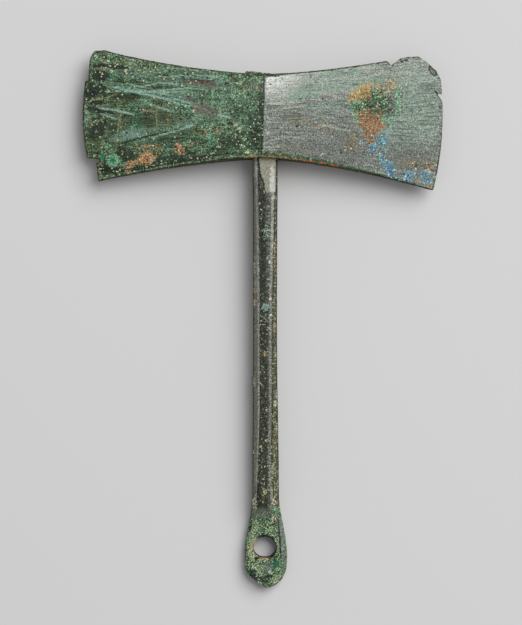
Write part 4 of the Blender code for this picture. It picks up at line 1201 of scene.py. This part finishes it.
# Dark crust on the sides, and the dark band of crust and painted shade along the outline.
bronze.glaze("side_crust_and_edge_shade", ["161A0E", "2E331C", "4E502E"], 0.3, by="grain", roughness=0.75)
bronze.grains("side_crust_and_edge_shade", ["0E150C", "4C6647", "6E6A44", "8A8A60", "24351F"], 0.42, 0.35, 0.8)
bronze.glaze("gold", ["6F5E3A", "A68C5E", "CDB288"], 0.36)
bronze.glaze("red_line", ["963F28", "D06A48"], 0.36, by="grain")

# %% The head's bumps, and a slight metallic sheen on the film
rough_places = add(bronze.tree, "ShaderNodeMath", {0: 1.0, 1: satin}, operation="SUBTRACT")
crust_height = add(bronze.tree, "ShaderNodeMath", {
    0: bronze.noise["fine"], 1: rough_places}, operation="MULTIPLY")
head_bumps = [
    (crust_height, 0.12, 0.9), (bronze.noise["streak"], 0.02, 0.5), (bronze.noise["pixel"], 0.03, 0.6),
]
film_sheen = add(bronze.tree, "ShaderNodeMath", {0: satin, 1: 0.2}, operation="MULTIPLY")
head.data.materials.append(bronze.seal(film_sheen, head_bumps))

# %% [markdown]
# ## Handle: dark oxide, worn grey faces with painted light and highlights, green lug
#
# Handling and cleaning wore the rod down to a hard dark grey oxide that takes a shine. The worn right
# half of the front face is painted lighter as if lit, and the arrises carry painted highlights. Black
# crust stays in the low left half of the front face, olive brown earth in the slanting faces, and
# carbonate on the lug.

# %% The handle's ground, its worn faces painted lighter as if lit, and its crusted faces
oxide = Patina("hammered tin bronze, dark oxide with worn faces")
oxide.ground(["10120C", "25281F", "383B30", "4C4F43", "6E7062"], 0.40, 0.60, rough=0.62, smooth=0.4)
oxide.wash("slant", ["57574D", "7B7B70", "A0A094"], roughness=0.5, least=0.7)
oxide.glaze("olive", ["12160E", "2F3526", "595B44", "85866A"], 0.2, by="grain", roughness=0.6)
# Worn grey, painted lighter on the right half of the front face as if lit: wear and painted light.
oxide.wash("worn", ["43463F", "6C6F68", "989A92"], by="fine", roughness=0.4, least=0.5)
# This black coat is black crust, and also the painted shade along the rod's outline.
oxide.glaze("black_crust_and_shade", ["050604", "10130D", "262A21", "5A5E52"], 0.33, roughness=0.62, edge=0.05,
            strength=0.97)
oxide.grains("earthy", ["0A0D08", "0D0F0A", "8E8A5A", "C3BF96", "4C6B45", "A9B58E", "12150E"], 0.34, 0.40)
oxide.glaze("pale_metal", ["74735F", "8D8D7D", "A4A393"], 0.2, by="grain", roughness=0.45)
# Worn arrises with painted highlights along them, up to near white.
oxide.wash("arris_wear_and_highlight", ["8F8F87", "BDBDB5", "E4E4DE"], by="fine", roughness=0.36, least=0.5)
# Painted highlights: the glint on the tongue and the bright specks on the arris and the lug.
oxide.glaze("painted_highlight", ["9A9B94", "BDBEB8", "DADAD6"], 0.3, roughness=0.34, strength=0.92)

# %% The lug's green crust, and minerals on both
lug_greens = ["060A06", "162417", "3A5A3E", "6E9068", "B4C69C"]
oxide.glaze("green_crust", lug_greens, 0.05, by="grain", roughness=0.75)
oxide.grains("grainy", ["080C07", "0E160D", "164A30", "8FA88A", "0B1009", "6F9A78"], 0.34, 0.5)
oxide.grains("grainy", ["DAD8BC", "B9C9A8", "8FB38C", "A9A66C", "C9D6BC"], 0.40, 0.24)
oxide.wash("smooth_grey", ["343A34", "626B61", "8F988E"], by="streak", roughness=0.5, least=0.7)
oxide.glaze("teal", ["4C6960", "74928A", "97B0A6"], 0.36, roughness=0.6)
oxide.glaze("pale_green", ["5A7656", "8AA27C", "B0C29D"], 0.42, roughness=0.7)
oxide.glaze("malachite", ["3F8262", "74AF90", "A0CBB0"], 0.38, roughness=0.7)
oxide.glaze("emerald", ["064A35", "157A58"], 0.2, roughness=0.5)
oxide.glaze("rust", ["7E512F", "A87B52"], 0.42, roughness=0.8)
oxide.glaze("gold", ["6F5E3A", "9C8A5C", "C4B488"], 0.38, roughness=0.7)
# Black is crust and pits, and on the hole's wall it is painted shade.
oxide.glaze("black", ["040504", "10140E", "2A3026"], 0.36, roughness=0.7)
oxide.glaze("cream", ["8E8860", "BFB78E", "E0DBC2"], 0.40, roughness=0.8)

# %% The handle's bumps, and bare metal on the worn arrises that carry painted highlights
worn_share = add(oxide.tree, "ShaderNodeAttribute", out=2, attribute_name="arris_wear_and_highlight")
arris_sheen = add(oxide.tree, "ShaderNodeMath", {0: worn_share, 1: 0.4}, operation="MULTIPLY")
handle_bumps = [(oxide.noise["fine"], 0.08, 0.8), (oxide.noise["grain"], 0.08, 0.5)]
handle.data.materials.append(oxide.seal(arris_sheen, handle_bumps))

# %% [markdown]
# ## The pieces on the body
#
# Each piece rides on the one body and stands for its solid, which is hidden.

# %% Ride and replace
for piece, node, slot in [(head, "axe_head", "head_bronze"), (handle, "handle", "handle_bronze")]:
    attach(piece, "root")
    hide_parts(node)
    print(piece.name, "stands for", node, "in", slot)
